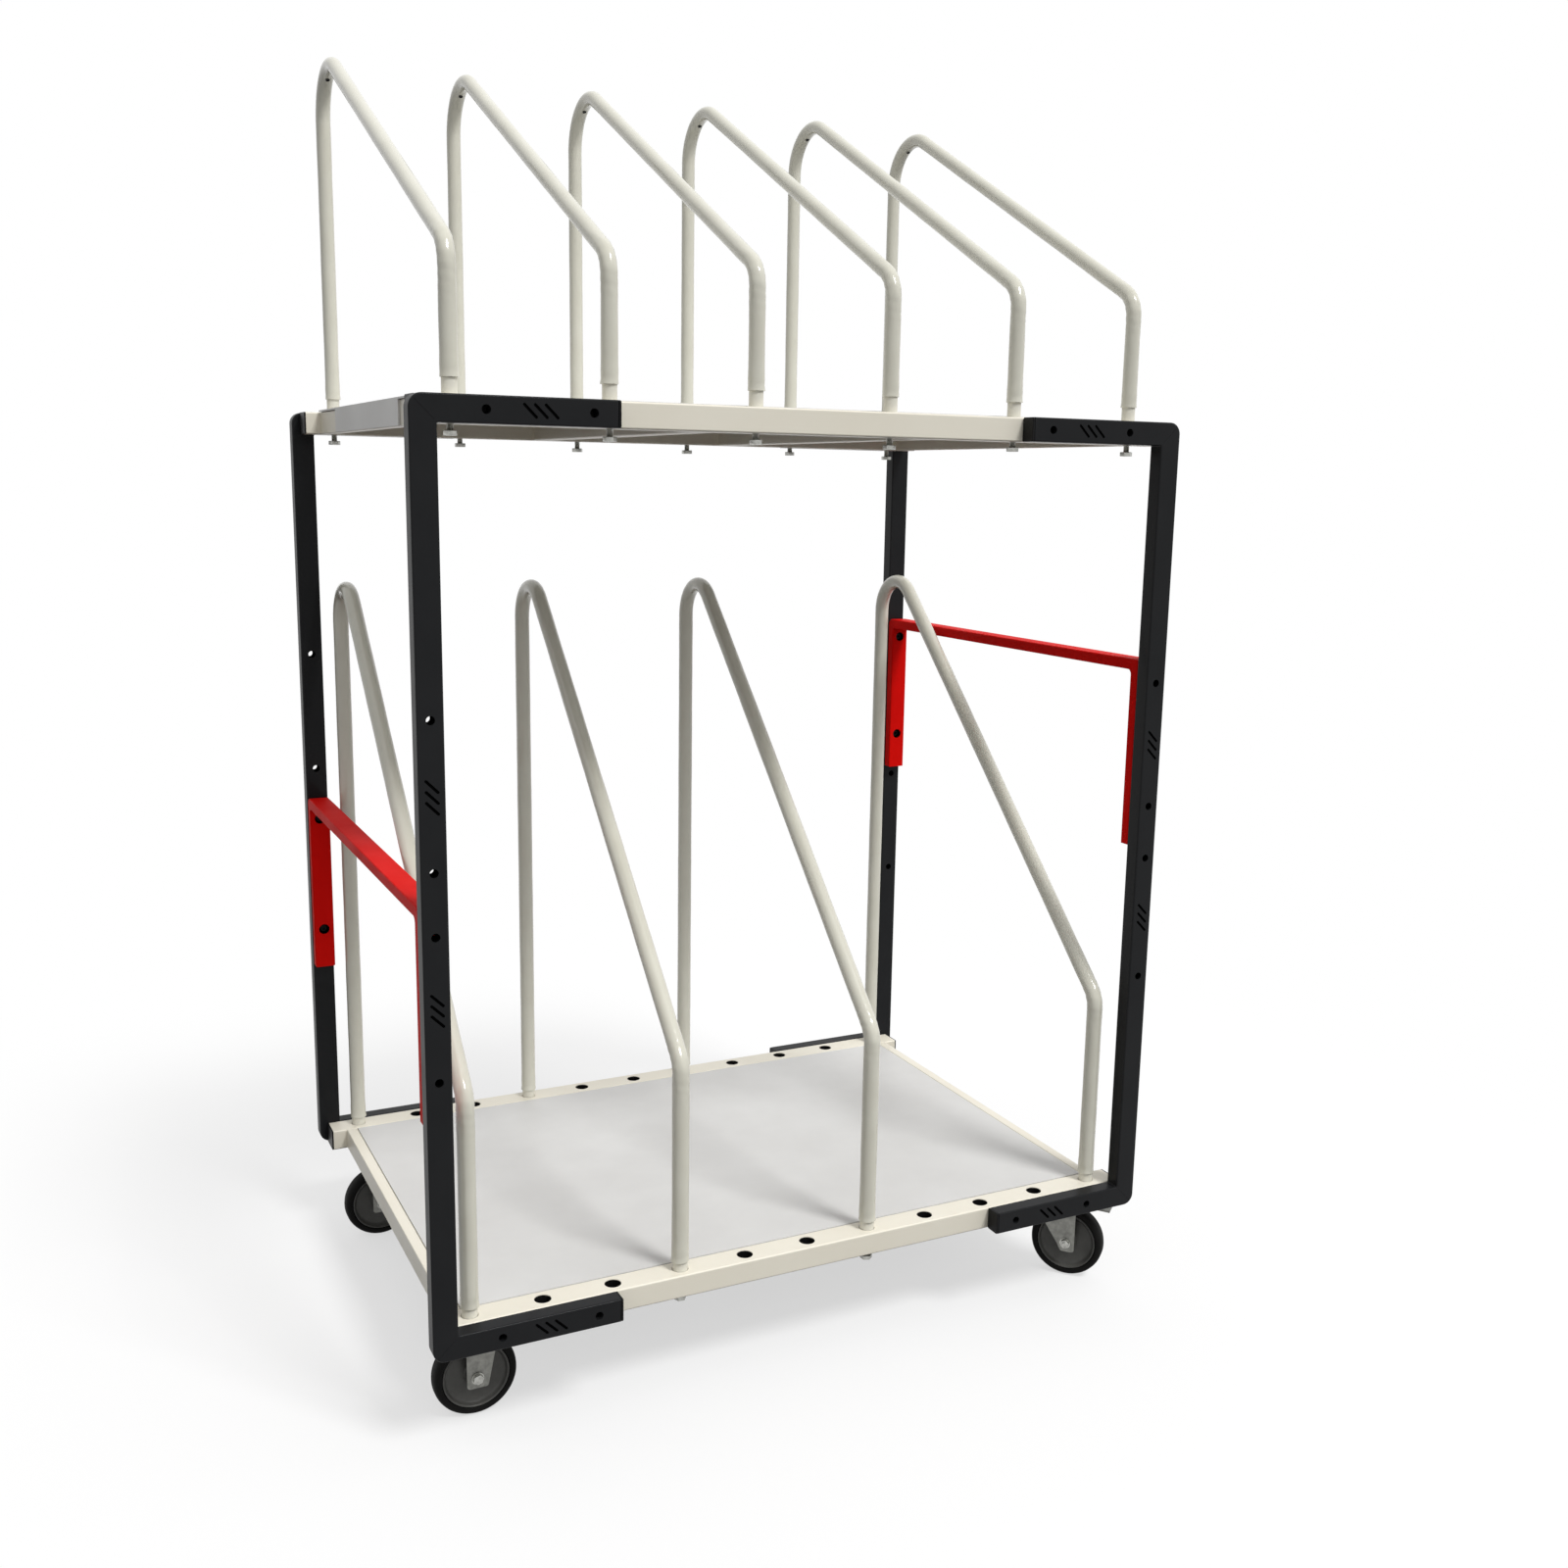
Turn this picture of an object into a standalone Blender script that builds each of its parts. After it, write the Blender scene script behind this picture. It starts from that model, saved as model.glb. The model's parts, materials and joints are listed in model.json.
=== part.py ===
"""Carton storage trolley: two shelves on four C-shaped uprights, with plug-in divider hoops.

Run with blender --background --python part.py. Metres, +Z up, origin on the floor below the
middle of the frame. X runs along the shelves, the operator stands at -Y.
"""
import math

import bmesh
import bpy
from mathutils import Matrix, Vector

# Fits between pieces
GAP = 0.0003
PANEL_GAP = 0.0015

# Overall frame
OVERALL_WIDTH = 1.350
OVERALL_DEPTH = 0.950
FRAME_HEIGHT = 1.460
CASTER_HEIGHT = 0.172

# C-shaped uprights
UPRIGHT_WIDTH = 0.040
UPRIGHT_DEPTH = 0.030
ARM_LENGTH = 0.308
UPRIGHT_CORNER_RADIUS = 0.020
UPRIGHT_INNER_RADIUS = 0.003
BOLT_HOLE_DIAMETER = 0.012
ARM_HOLE_OFFSET = 0.110
ARM_HOLE_PITCH = 0.160
HANDLE_HOLE_PITCH = 0.225
HANDLE_POSITION_GAP = 0.097
SLIT_COUNT = 3
SLIT_LENGTH = 0.029
SLIT_WIDTH = 0.004
SLIT_PITCH = 0.016
SLIT_DEPTH = 0.004
SLIT_ANGLE = math.radians(45)

# Shelf frames
RAIL_DEPTH = 0.050
RAIL_HEIGHT = 0.040
RAIL_INSET = 0.017
SIDE_RAIL_INSET = 0.044
SIDE_RAIL_WIDTH = 0.020
PANEL_THICKNESS = 0.003
FLANGE_LENGTH = 0.480
FLANGE_DROP = 0.039
UPPER_CROSS_OFFSET = 0.200
UPPER_CROSS_WIDTH = 0.040
LOWER_CROSS_WIDTH = 0.080

# Sockets for the hoops
SOCKET_COUNT = 11
SOCKET_END_INSET = 0.0725
UPPER_SOCKET_DIAMETER = 0.026
LOWER_SOCKET_DIAMETER = 0.029
SOCKET_FLOOR = 0.004

# Divider hoops: heights are from the frame's bottom to the corners of the centre line
UPPER_TUBE_DIAMETER = 0.023
LOWER_TUBE_DIAMETER = 0.026
SLEEVE_WALL = 0.0012
HOOP_FRONT_BEND = 0.050
UPPER_FRONT_CORNER = 1.669
UPPER_REAR_CORNER = 2.110
UPPER_APEX_BEND = 0.082
UPPER_SLEEVE_LIFT = 0.025
UPPER_HOOP_SOCKETS = (1, 3, 5, 7, 9, 11)
LOWER_FRONT_CORNER = 0.406
LOWER_REAR_CORNER = 1.228
LOWER_APEX_BEND = 0.068
LOWER_SLEEVE_LIFT = 0.016
LOWER_HOOP_SOCKETS = (1, 4, 7, 11)

# Push handles
HANDLE_WIDTH = 0.038
HANDLE_THICKNESS = 0.020
HANDLE_RISE = 0.040
HANDLE_TAIL = 0.077
HANDLE_OUTER_RADIUS = 0.012
HANDLE_INNER_RADIUS = 0.009

# Casters
CASTER_INSET_X = 0.096
CASTER_INSET_Y = 0.125
WHEEL_RADIUS = 0.070
TYRE_WIDTH = 0.032
TYRE_THICKNESS = 0.0135
TYRE_SHOULDER = 0.004
RIM_WIDTH = 0.028
RIM_FLANGE = 0.006
WEB_THICKNESS = 0.010
HUB_RADIUS = 0.014
AXLE_DIAMETER = 0.010
AXLE_HEAD_ACROSS = 0.017
AXLE_HEAD_THICKNESS = 0.006
FORK_INNER_WIDTH = 0.040
FORK_WALL = 0.003
FORK_TRAIL = 0.035
FORK_EDGE = 0.018
FORK_NECK = 0.042
CROWN_THICKNESS = 0.004
PLATE_LENGTH = 0.105
PLATE_WIDTH = 0.085
PLATE_THICKNESS = 0.004
PLATE_CORNER = 0.010
RACE_DIAMETER = 0.056
RACE_HEIGHT = 0.006
FORK_RACE_HEIGHT = 0.003
SWIVEL_ANGLE = math.radians(-49)
FIXED_ANGLE = math.pi

# Brake pedal
PEDAL_WIDTH = 0.028
PEDAL_THICKNESS = 0.003
PEDAL_PIVOT_X = 0.018
PEDAL_PIN_DIAMETER = 0.006
PEDAL_CLEARANCE = 0.005
PEDAL_BEND_X = 0.062
PEDAL_REACH = 0.116
PEDAL_RISE = -0.002

# Facets
HOLE_SIDES = 8
SOCKET_SIDES = 8
WHEEL_STEPS = 20
HUB_SIDES = 12
CORNER_STEPS = 4
FRONT_BEND_STEPS = 3
APEX_BEND_STEPS = 5
TUBE_RESOLUTION = 2
WELD_DISTANCE = 1e-6

# Levels and faces that several pieces share
FRAME_BOTTOM = CASTER_HEIGHT
FRAME_TOP = FRAME_BOTTOM + FRAME_HEIGHT
LOWER_RAIL_BOTTOM = FRAME_BOTTOM
UPPER_RAIL_BOTTOM = FRAME_TOP - RAIL_HEIGHT
RAIL_FACE_Y = OVERALL_DEPTH / 2 - UPRIGHT_DEPTH - GAP
RAIL_CENTRE_Y = RAIL_FACE_Y - RAIL_DEPTH / 2
RAIL_INNER_Y = RAIL_FACE_Y - RAIL_DEPTH
SOCKET_PITCH = (OVERALL_WIDTH - 2 * SOCKET_END_INSET) / (SOCKET_COUNT - 1)
SIDE_RAIL_X = OVERALL_WIDTH / 2 - SIDE_RAIL_INSET
SIDE_RAIL_INNER_X = SIDE_RAIL_X - SIDE_RAIL_WIDTH
CASTER_X = OVERALL_WIDTH / 2 - CASTER_INSET_X
CASTER_Y = OVERALL_DEPTH / 2 - CASTER_INSET_Y
HANDLE_HOLE_MIDDLE = FRAME_BOTTOM + FRAME_HEIGHT / 2
LOWER_HANDLE_HOLE = HANDLE_HOLE_MIDDLE - HANDLE_POSITION_GAP / 2 - HANDLE_HOLE_PITCH
UPPER_HANDLE_HOLE = HANDLE_HOLE_MIDDLE + HANDLE_POSITION_GAP / 2
PLATE_TOP = CASTER_HEIGHT - GAP
PLATE_BOTTOM = PLATE_TOP - PLATE_THICKNESS
CROWN_TOP = PLATE_BOTTOM - RACE_HEIGHT - GAP - FORK_RACE_HEIGHT
CROWN_BOTTOM = CROWN_TOP - CROWN_THICKNESS
FORK_HALF_WIDTH = FORK_INNER_WIDTH / 2 + FORK_WALL
RIM_RADIUS = WHEEL_RADIUS - TYRE_THICKNESS

# Finishes: colour, roughness, metallic
FINISHES = {
    "anthracite_powder_coat": ((0.018, 0.019, 0.022), 0.45, 0.0),
    "cream_powder_coat": ((0.80, 0.78, 0.70), 0.40, 0.0),
    "grey_shelf_sheet": ((0.60, 0.60, 0.61), 0.50, 0.0),
    "white_steel_tube": ((0.74, 0.73, 0.66), 0.35, 0.0),
    "pvc_sleeve": ((0.74, 0.73, 0.66), 0.20, 0.0),
    "red_powder_coat": ((0.55, 0.008, 0.006), 0.40, 0.0),
    "zinc_plate": ((0.55, 0.55, 0.52), 0.35, 0.9),
    "grey_nylon": ((0.11, 0.11, 0.105), 0.45, 0.0),
    "black_rubber": ((0.012, 0.012, 0.012), 0.65, 0.0),
}


def clear_scene():
    """Remove every object left in the scene."""
    for obj in list(bpy.data.objects):
        bpy.data.objects.remove(obj, do_unlink=True)


def make_collection(name):
    """Return a new collection linked to the scene."""
    collection = bpy.data.collections.new(name)
    bpy.context.scene.collection.children.link(collection)
    return collection


def make_material(name):
    """Return the Principled material of a finish, made once."""
    found = bpy.data.materials.get(name)
    if found:
        return found
    colour, roughness, metallic = FINISHES[name]
    material = bpy.data.materials.new(name)
    material.use_nodes = True
    shader = material.node_tree.nodes["Principled BSDF"]
    shader.inputs["Base Color"].default_value = (*colour, 1.0)
    shader.inputs["Roughness"].default_value = roughness
    shader.inputs["Metallic"].default_value = metallic
    return material


clear_scene()
PARTS = make_collection("carton_storage_trolley")
CUTTERS = make_collection("cutters")


def place(name, mesh, finish, location=(0, 0, 0), rotation=(0, 0, 0), parent=None):
    """Add a finished sub-part to the trolley."""
    obj = bpy.data.objects.new(name, mesh)
    obj.location = location
    obj.rotation_euler = rotation
    obj.parent = parent
    mesh.materials.clear()
    mesh.materials.append(make_material(finish))
    PARTS.objects.link(obj)
    return obj


def place_cutter(name, mesh, like):
    """Add a hidden cutter that shares the frame of the piece it cuts or joins."""
    obj = bpy.data.objects.new(name, mesh)
    obj.location = like.location
    obj.rotation_euler = like.rotation_euler
    obj.parent = like.parent
    obj.hide_render = True
    obj.display_type = "WIRE"
    CUTTERS.objects.link(obj)
    return obj


def boolean(target, cutter, operation):
    """Cut or join a cutter with a target, as a live modifier."""
    modifier = target.modifiers.new(cutter.name, "BOOLEAN")
    modifier.operation = operation
    modifier.object = cutter


def new_mesh(name, build):
    """Return a mesh filled by a function that works on a bmesh."""
    mesh = bpy.data.meshes.new(name)
    shape = bmesh.new()
    build(shape)
    shape.to_mesh(mesh)
    shape.free()
    return mesh


def add_box(shape, low, high, turn=None):
    """Add a box between two corners, turned about its own centre if asked."""
    low, high = Vector(low), Vector(high)
    size = high - low
    matrix = Matrix.Translation((low + high) / 2)
    if turn:
        matrix = matrix @ turn
    matrix = matrix @ Matrix.Diagonal((*size, 1.0))
    bmesh.ops.create_cube(shape, size=1.0, matrix=matrix)


def add_cylinder(shape, centre, axis, diameter, length, sides):
    """Add a closed cylinder centred on a point, with a flat facing down where it lies along X or Y."""
    turn = Vector((0, 0, 1)).rotation_difference(Vector(axis)).to_matrix().to_4x4()
    flat = Matrix.Rotation(math.pi / sides, 4, "Z")
    bmesh.ops.create_cone(
        shape, cap_ends=True, segments=sides, radius1=diameter / 2, radius2=diameter / 2,
        depth=length, matrix=Matrix.Translation(centre) @ turn @ flat)


def box_mesh(name, low, high):
    """Return the mesh of one box."""
    return new_mesh(name, lambda shape: add_box(shape, low, high))


def rounded(corners):
    """Return an outline whose corners (x, y, radius) are rounded with arcs."""
    points = []
    for index, (x, y, radius) in enumerate(corners):
        corner = Vector((x, y))
        if radius == 0:
            points.append(corner)
            continue
        before = (Vector(corners[index - 1][:2]) - corner).normalized()
        after = (Vector(corners[(index + 1) % len(corners)][:2]) - corner).normalized()
        half = before.angle(after) / 2
        centre = corner + (before + after).normalized() * radius / math.sin(half)
        start = corner + before * radius / math.tan(half) - centre
        sweep = start.angle_signed(corner + after * radius / math.tan(half) - centre)
        for step in range(CORNER_STEPS + 1):
            points.append(centre + Matrix.Rotation(-sweep * step / CORNER_STEPS, 2) @ start)
    return points


def mesh_from_curve(curve):
    """Return a welded mesh of a curve, and remove the curve."""
    helper = bpy.data.objects.new(curve.name, curve)
    CUTTERS.objects.link(helper)
    graph = bpy.context.evaluated_depsgraph_get()
    mesh = bpy.data.meshes.new_from_object(helper.evaluated_get(graph))
    bpy.data.objects.remove(helper, do_unlink=True)
    shape = bmesh.new()
    shape.from_mesh(mesh)
    bmesh.ops.remove_doubles(shape, verts=shape.verts, dist=WELD_DISTANCE)
    bmesh.ops.recalc_face_normals(shape, faces=shape.faces)
    shape.to_mesh(mesh)
    shape.free()
    return mesh


def plate_mesh(name, outline, thickness):
    """Return a flat outline in local XY, given a thickness centred on local Z."""
    curve = bpy.data.curves.new(name, "CURVE")
    curve.dimensions = "2D"
    curve.fill_mode = "BOTH"
    curve.extrude = thickness / 2
    spline = curve.splines.new("POLY")
    spline.points.add(len(outline) - 1)
    for point, (x, y) in zip(spline.points, outline):
        point.co = (x, y, 0, 1)
    spline.use_cyclic_u = True
    return mesh_from_curve(curve)


# Rotations that stand a flat outline up: local Z becomes -Y, or X
FACING_FRONT = (math.pi / 2, 0, 0)
FACING_SIDE = (math.pi / 2, 0, math.pi / 2)


def slit_turn():
    """Return the turn of a slit in the plane of an upright, seen from the front."""
    return Matrix.Rotation(SLIT_ANGLE, 4, "Y")


def add_slits(shape, centre, along, outward):
    """Add the cutters of one group of slits to the outer face at a centre."""
    for index in range(SLIT_COUNT):
        middle = centre + along * SLIT_PITCH * (index - (SLIT_COUNT - 1) / 2)
        reach = Vector((SLIT_LENGTH / 2, SLIT_DEPTH, SLIT_WIDTH / 2))
        turn = slit_turn() if outward < 0 else Matrix.Rotation(-SLIT_ANGLE, 4, "Y")
        add_box(shape, middle - reach, middle + reach, turn)


def build_upright(name, side, outward):
    """Build one C-shaped upright: side is -1 left or 1 right, outward is -1 front or 1 rear."""
    outer_x = side * OVERALL_WIDTH / 2
    face_y = outward * OVERALL_DEPTH / 2
    middle_y = face_y - outward * UPRIGHT_DEPTH / 2
    width, height = UPRIGHT_WIDTH, FRAME_HEIGHT
    corners = [
        (0, 0, UPRIGHT_CORNER_RADIUS), (ARM_LENGTH, 0, 0), (ARM_LENGTH, width, 0),
        (width, width, UPRIGHT_INNER_RADIUS), (width, height - width, UPRIGHT_INNER_RADIUS),
        (ARM_LENGTH, height - width, 0), (ARM_LENGTH, height, 0), (0, height, UPRIGHT_CORNER_RADIUS)]
    outline = [(outer_x - side * x, FRAME_BOTTOM + y) for x, y in rounded(corners)]
    mesh = plate_mesh(name, outline, UPRIGHT_DEPTH)
    upright = place(name, mesh, "anthracite_powder_coat", (0, middle_y, 0), FACING_FRONT)

    def bore(shape):
        across, up = Vector((1, 0, 0)), Vector((0, 0, 1))
        through = UPRIGHT_DEPTH + 2 * SLIT_DEPTH
        for level in (FRAME_BOTTOM + width / 2, FRAME_TOP - width / 2):
            for offset in (ARM_HOLE_OFFSET, ARM_HOLE_OFFSET + ARM_HOLE_PITCH):
                add_cylinder(shape, (outer_x - side * offset, middle_y, level), (0, 1, 0),
                             BOLT_HOLE_DIAMETER, through, HOLE_SIDES)
            group = ARM_HOLE_OFFSET + ARM_HOLE_PITCH / 2
            add_slits(shape, Vector((outer_x - side * group, face_y, level)), across, outward)
        post_x = outer_x - side * width / 2
        for low_hole in (LOWER_HANDLE_HOLE, UPPER_HANDLE_HOLE):
            for level in (low_hole, low_hole + HANDLE_HOLE_PITCH):
                add_cylinder(shape, (post_x, middle_y, level), (0, 1, 0),
                             BOLT_HOLE_DIAMETER, through, HOLE_SIDES)
            group = Vector((post_x, face_y, low_hole + HANDLE_HOLE_PITCH / 2))
            add_slits(shape, group, up, outward)

    cutter = bpy.data.objects.new(name + "_holes", new_mesh(name + "_holes", bore))
    cutter.hide_render = True
    cutter.display_type = "WIRE"
    CUTTERS.objects.link(cutter)
    boolean(upright, cutter, "DIFFERENCE")


def socket_x(number):
    """Return the X of a socket, numbered from 1 at the left."""
    return (number - (SOCKET_COUNT + 1) / 2) * SOCKET_PITCH


def build_rail(name, bottom, outward, socket_diameter):
    """Build a front or rear shelf rail with its row of sockets."""
    half = OVERALL_WIDTH / 2 - RAIL_INSET
    middle_y = outward * RAIL_CENTRE_Y
    low = (-half, middle_y - RAIL_DEPTH / 2, bottom)
    high = (half, middle_y + RAIL_DEPTH / 2, bottom + RAIL_HEIGHT)
    rail = place(name, box_mesh(name, low, high), "cream_powder_coat")

    def sockets(shape):
        floor = bottom + SOCKET_FLOOR
        for number in range(1, SOCKET_COUNT + 1):
            add_cylinder(shape, (socket_x(number), middle_y, floor + RAIL_HEIGHT / 2), (0, 0, 1),
                         socket_diameter, RAIL_HEIGHT, SOCKET_SIDES)

    boolean(rail, place_cutter(name + "_sockets", new_mesh(name + "_sockets", sockets), rail), "DIFFERENCE")


def build_shelf(level, bottom, socket_diameter):
    """Build the rails, side rails and cross members of one shelf, without its panel."""
    build_rail(level + "_front_rail", bottom, -1, socket_diameter)
    build_rail(level + "_rear_rail", bottom, 1, socket_diameter)
    reach_y = RAIL_INNER_Y - GAP
    for side, word in ((-1, "left"), (1, "right")):
        name = f"{level}_{word}_side_rail"
        inner, outer = side * SIDE_RAIL_INNER_X, side * SIDE_RAIL_X
        low = (min(inner, outer), -reach_y, bottom)
        high = (max(inner, outer), reach_y, bottom + RAIL_HEIGHT)
        place(name, box_mesh(name, low, high), "cream_powder_coat")


def build_cross_members(level, bottom, top, offset, width):
    """Build the two members that run front to rear under a panel."""
    reach_y = RAIL_INNER_Y - GAP
    for side, word in ((-1, "left"), (1, "right")):
        name = f"{level}_{word}_cross_member"
        low = (side * offset - width / 2, -reach_y, bottom)
        high = (side * offset + width / 2, reach_y, top)
        place(name, box_mesh(name, low, high), "cream_powder_coat")


def build_lower_panel():
    """Build the flush panel between the lower rails, on its cross members."""
    top = LOWER_RAIL_BOTTOM + RAIL_HEIGHT
    half_x, half_y = SIDE_RAIL_INNER_X - PANEL_GAP, RAIL_INNER_Y - PANEL_GAP
    low = (-half_x, -half_y, top - PANEL_THICKNESS)
    place("lower_panel", box_mesh("lower_panel", low, (half_x, half_y, top)), "grey_shelf_sheet")
    beside_side_rail = SIDE_RAIL_INNER_X - GAP - LOWER_CROSS_WIDTH / 2
    build_cross_members("lower", LOWER_RAIL_BOTTOM, top - PANEL_THICKNESS - GAP, beside_side_rail,
                        LOWER_CROSS_WIDTH)


def build_upper_panel():
    """Build the panel that lies on the upper side rails and folds down over their outer faces."""
    bottom = FRAME_TOP + GAP
    half_x = SIDE_RAIL_X + GAP + PANEL_THICKNESS
    half_y = RAIL_INNER_Y - PANEL_GAP
    top = bottom + PANEL_THICKNESS
    panel = place("upper_panel", box_mesh("upper_panel", (-half_x, -half_y, bottom), (half_x, half_y, top)),
                  "grey_shelf_sheet")

    def flanges(shape):
        for side in (-1, 1):
            inner, outer = side * (half_x - PANEL_THICKNESS), side * half_x
            add_box(shape, (min(inner, outer), -FLANGE_LENGTH / 2, bottom - FLANGE_DROP),
                    (max(inner, outer), FLANGE_LENGTH / 2, top))

    boolean(panel, place_cutter("upper_panel_flanges", new_mesh("upper_panel_flanges", flanges), panel), "UNION")
    build_cross_members("upper", UPPER_RAIL_BOTTOM, FRAME_TOP, UPPER_CROSS_OFFSET, UPPER_CROSS_WIDTH)


def bend(before, corner, after, radius, steps):
    """Return the points of a round bend at a corner of a path."""
    back = (before - corner).normalized()
    ahead = (after - corner).normalized()
    half = back.angle(ahead) / 2
    centre = corner + (back + ahead).normalized() * radius / math.sin(half)
    start = corner + back * radius / math.tan(half) - centre
    finish = corner + ahead * radius / math.tan(half) - centre
    turn = start.rotation_difference(finish)
    axis, sweep = turn.axis, turn.angle
    return [centre + Matrix.Rotation(sweep * step / steps, 3, axis) @ start for step in range(steps + 1)]


def hoop_path(x, foot, front_corner, rear_corner, apex_bend):
    """Return the centre line of a hoop: short front leg, slope, apex and tall rear leg."""
    front_foot = Vector((x, -RAIL_CENTRE_Y, foot))
    front = Vector((x, -RAIL_CENTRE_Y, front_corner))
    rear = Vector((x, RAIL_CENTRE_Y, rear_corner))
    rear_foot = Vector((x, RAIL_CENTRE_Y, foot))
    path = [front_foot]
    path += bend(front_foot, front, rear, HOOP_FRONT_BEND, FRONT_BEND_STEPS)
    path += bend(front, rear, rear_foot, apex_bend, APEX_BEND_STEPS)
    return path + [rear_foot]


def tube_object(name, path, radius, finish, capped):
    """Add a round tube that follows a path."""
    curve = bpy.data.curves.new(name, "CURVE")
    curve.dimensions = "3D"
    curve.bevel_depth = radius
    curve.bevel_resolution = TUBE_RESOLUTION
    curve.use_fill_caps = capped
    spline = curve.splines.new("POLY")
    spline.points.add(len(path) - 1)
    for point, position in zip(spline.points, path):
        point.co = (*position, 1)
    curve.materials.append(make_material(finish))
    obj = bpy.data.objects.new(name, curve)
    PARTS.objects.link(obj)
    return obj


def build_hoop(level, number, rail_bottom, tube_diameter, front_corner, rear_corner, apex_bend, sleeve_lift):
    """Build one divider hoop: the steel tube in its sockets and the sleeve drawn over it."""
    x = socket_x(number)
    foot = rail_bottom + SOCKET_FLOOR + GAP
    sleeve_end = rail_bottom + RAIL_HEIGHT + sleeve_lift
    corners = (FRAME_BOTTOM + front_corner, FRAME_BOTTOM + rear_corner, apex_bend)
    tube_radius = tube_diameter / 2
    name = f"{level}_hoop_{number:02d}"
    tube_object(name, hoop_path(x, foot, *corners), tube_radius, "white_steel_tube", True)
    outer = tube_radius + GAP + SLEEVE_WALL
    sleeve = tube_object(name + "_sleeve", hoop_path(x, sleeve_end, *corners), outer, "pvc_sleeve", False)
    wall = sleeve.modifiers.new("wall", "SOLIDIFY")
    wall.thickness = SLEEVE_WALL
    wall.offset = -1.0


def build_handle(name, side, low_hole):
    """Build one push handle on a pair of uprights, bolted at two holes in each leg."""
    x = side * (OVERALL_WIDTH / 2 - UPRIGHT_WIDTH / 2)
    bottom = low_hole - HANDLE_TAIL
    top = low_hole + HANDLE_HOLE_PITCH + HANDLE_RISE
    half, wall = RAIL_FACE_Y, HANDLE_THICKNESS
    corners = [
        (-half, bottom, 0), (-half + wall, bottom, 0), (-half + wall, top - wall, HANDLE_INNER_RADIUS),
        (half - wall, top - wall, HANDLE_INNER_RADIUS), (half - wall, bottom, 0), (half, bottom, 0),
        (half, top, HANDLE_OUTER_RADIUS), (-half, top, HANDLE_OUTER_RADIUS)]
    mesh = plate_mesh(name, rounded(corners), HANDLE_WIDTH)
    handle = place(name, mesh, "red_powder_coat", (x, 0, 0), FACING_SIDE)

    def bore(shape):
        for outward in (-1, 1):
            for level in (low_hole, low_hole + HANDLE_HOLE_PITCH):
                add_cylinder(shape, (x, outward * (half - wall / 2), level), (0, 1, 0),
                             BOLT_HOLE_DIAMETER, 2 * wall, HOLE_SIDES)

    cutter = bpy.data.objects.new(name + "_holes", new_mesh(name + "_holes", bore))
    cutter.hide_render = True
    cutter.display_type = "WIRE"
    CUTTERS.objects.link(cutter)
    boolean(handle, cutter, "DIFFERENCE")


def turned(name, profile, finish, axle, parent):
    """Add a piece turned about its axle, from a closed profile of (radius, offset along the axle)."""
    mesh = bpy.data.meshes.new(name)
    count = len(profile)
    edges = [(index, (index + 1) % count) for index in range(count)]
    mesh.from_pydata([(radius, 0, offset) for radius, offset in profile], edges, [])
    obj = place(name, mesh, finish, axle, FACING_FRONT, parent)
    obj.rotation_euler.y = math.pi / WHEEL_STEPS
    screw = obj.modifiers.new("turn", "SCREW")
    screw.axis = "Z"
    screw.angle = 2 * math.pi
    screw.steps = WHEEL_STEPS
    screw.render_steps = WHEEL_STEPS
    screw.use_merge_vertices = True
    screw.merge_threshold = 1e-5
    screw.use_smooth_shade = True
    return obj


def mirrored_profile(half):
    """Return a closed profile from its upper half, listed from the bore outwards."""
    return half + [(radius, -offset) for radius, offset in reversed(half)]


def build_wheel(prefix, axle, parent):
    """Build the rim, tyre and axle bolt of one caster."""
    facet = math.cos(math.pi / WHEEL_STEPS)
    tread = WHEEL_RADIUS / facet
    shoulder = (WHEEL_RADIUS - TYRE_SHOULDER) / facet
    seat = RIM_RADIUS / facet
    bore = (AXLE_DIAMETER / 2 + GAP) / facet
    hub_half = FORK_INNER_WIDTH / 2 - GAP
    rim_half, tyre_half = RIM_WIDTH / 2, TYRE_WIDTH / 2
    rim = mirrored_profile([
        (bore, hub_half), (HUB_RADIUS, hub_half), (HUB_RADIUS, WEB_THICKNESS / 2),
        (seat - 2 * RIM_FLANGE, WEB_THICKNESS / 2), (seat - RIM_FLANGE, rim_half), (seat, rim_half)])
    turned(prefix + "_rim", rim, "grey_nylon", axle, parent)
    tyre = mirrored_profile([
        (seat + GAP, rim_half), (shoulder, tyre_half), (tread, tyre_half - 2 * TYRE_SHOULDER)])
    turned(prefix + "_tyre", tyre, "black_rubber", axle, parent)

    def bolt(shape):
        add_cylinder(shape, (0, 0, 0), (0, 1, 0), AXLE_DIAMETER,
                     2 * (FORK_HALF_WIDTH + AXLE_HEAD_THICKNESS), HUB_SIDES)

    def heads(shape):
        for side in (-1, 1):
            middle = side * (FORK_HALF_WIDTH + GAP + AXLE_HEAD_THICKNESS / 2)
            add_cylinder(shape, (0, middle, 0), (0, 1, 0),
                         AXLE_HEAD_ACROSS / math.cos(math.pi / 6), AXLE_HEAD_THICKNESS, 6)

    name = prefix + "_axle"
    shaft = place(name, new_mesh(name, bolt), "zinc_plate", axle, (0, 0, 0), parent)
    boolean(shaft, place_cutter(name + "_heads", new_mesh(name + "_heads", heads), shaft), "UNION")


def leg_outline(trail, top, neck):
    """Return a fork leg seen along the axle: upright behind the wheel, slanted ahead of it."""
    low = WHEEL_RADIUS - FORK_EDGE
    return [
        (trail + FORK_EDGE, top), (-neck, top), (trail - FORK_EDGE, WHEEL_RADIUS),
        (trail - FORK_EDGE / 2, low), (trail + FORK_EDGE, low)]


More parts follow.
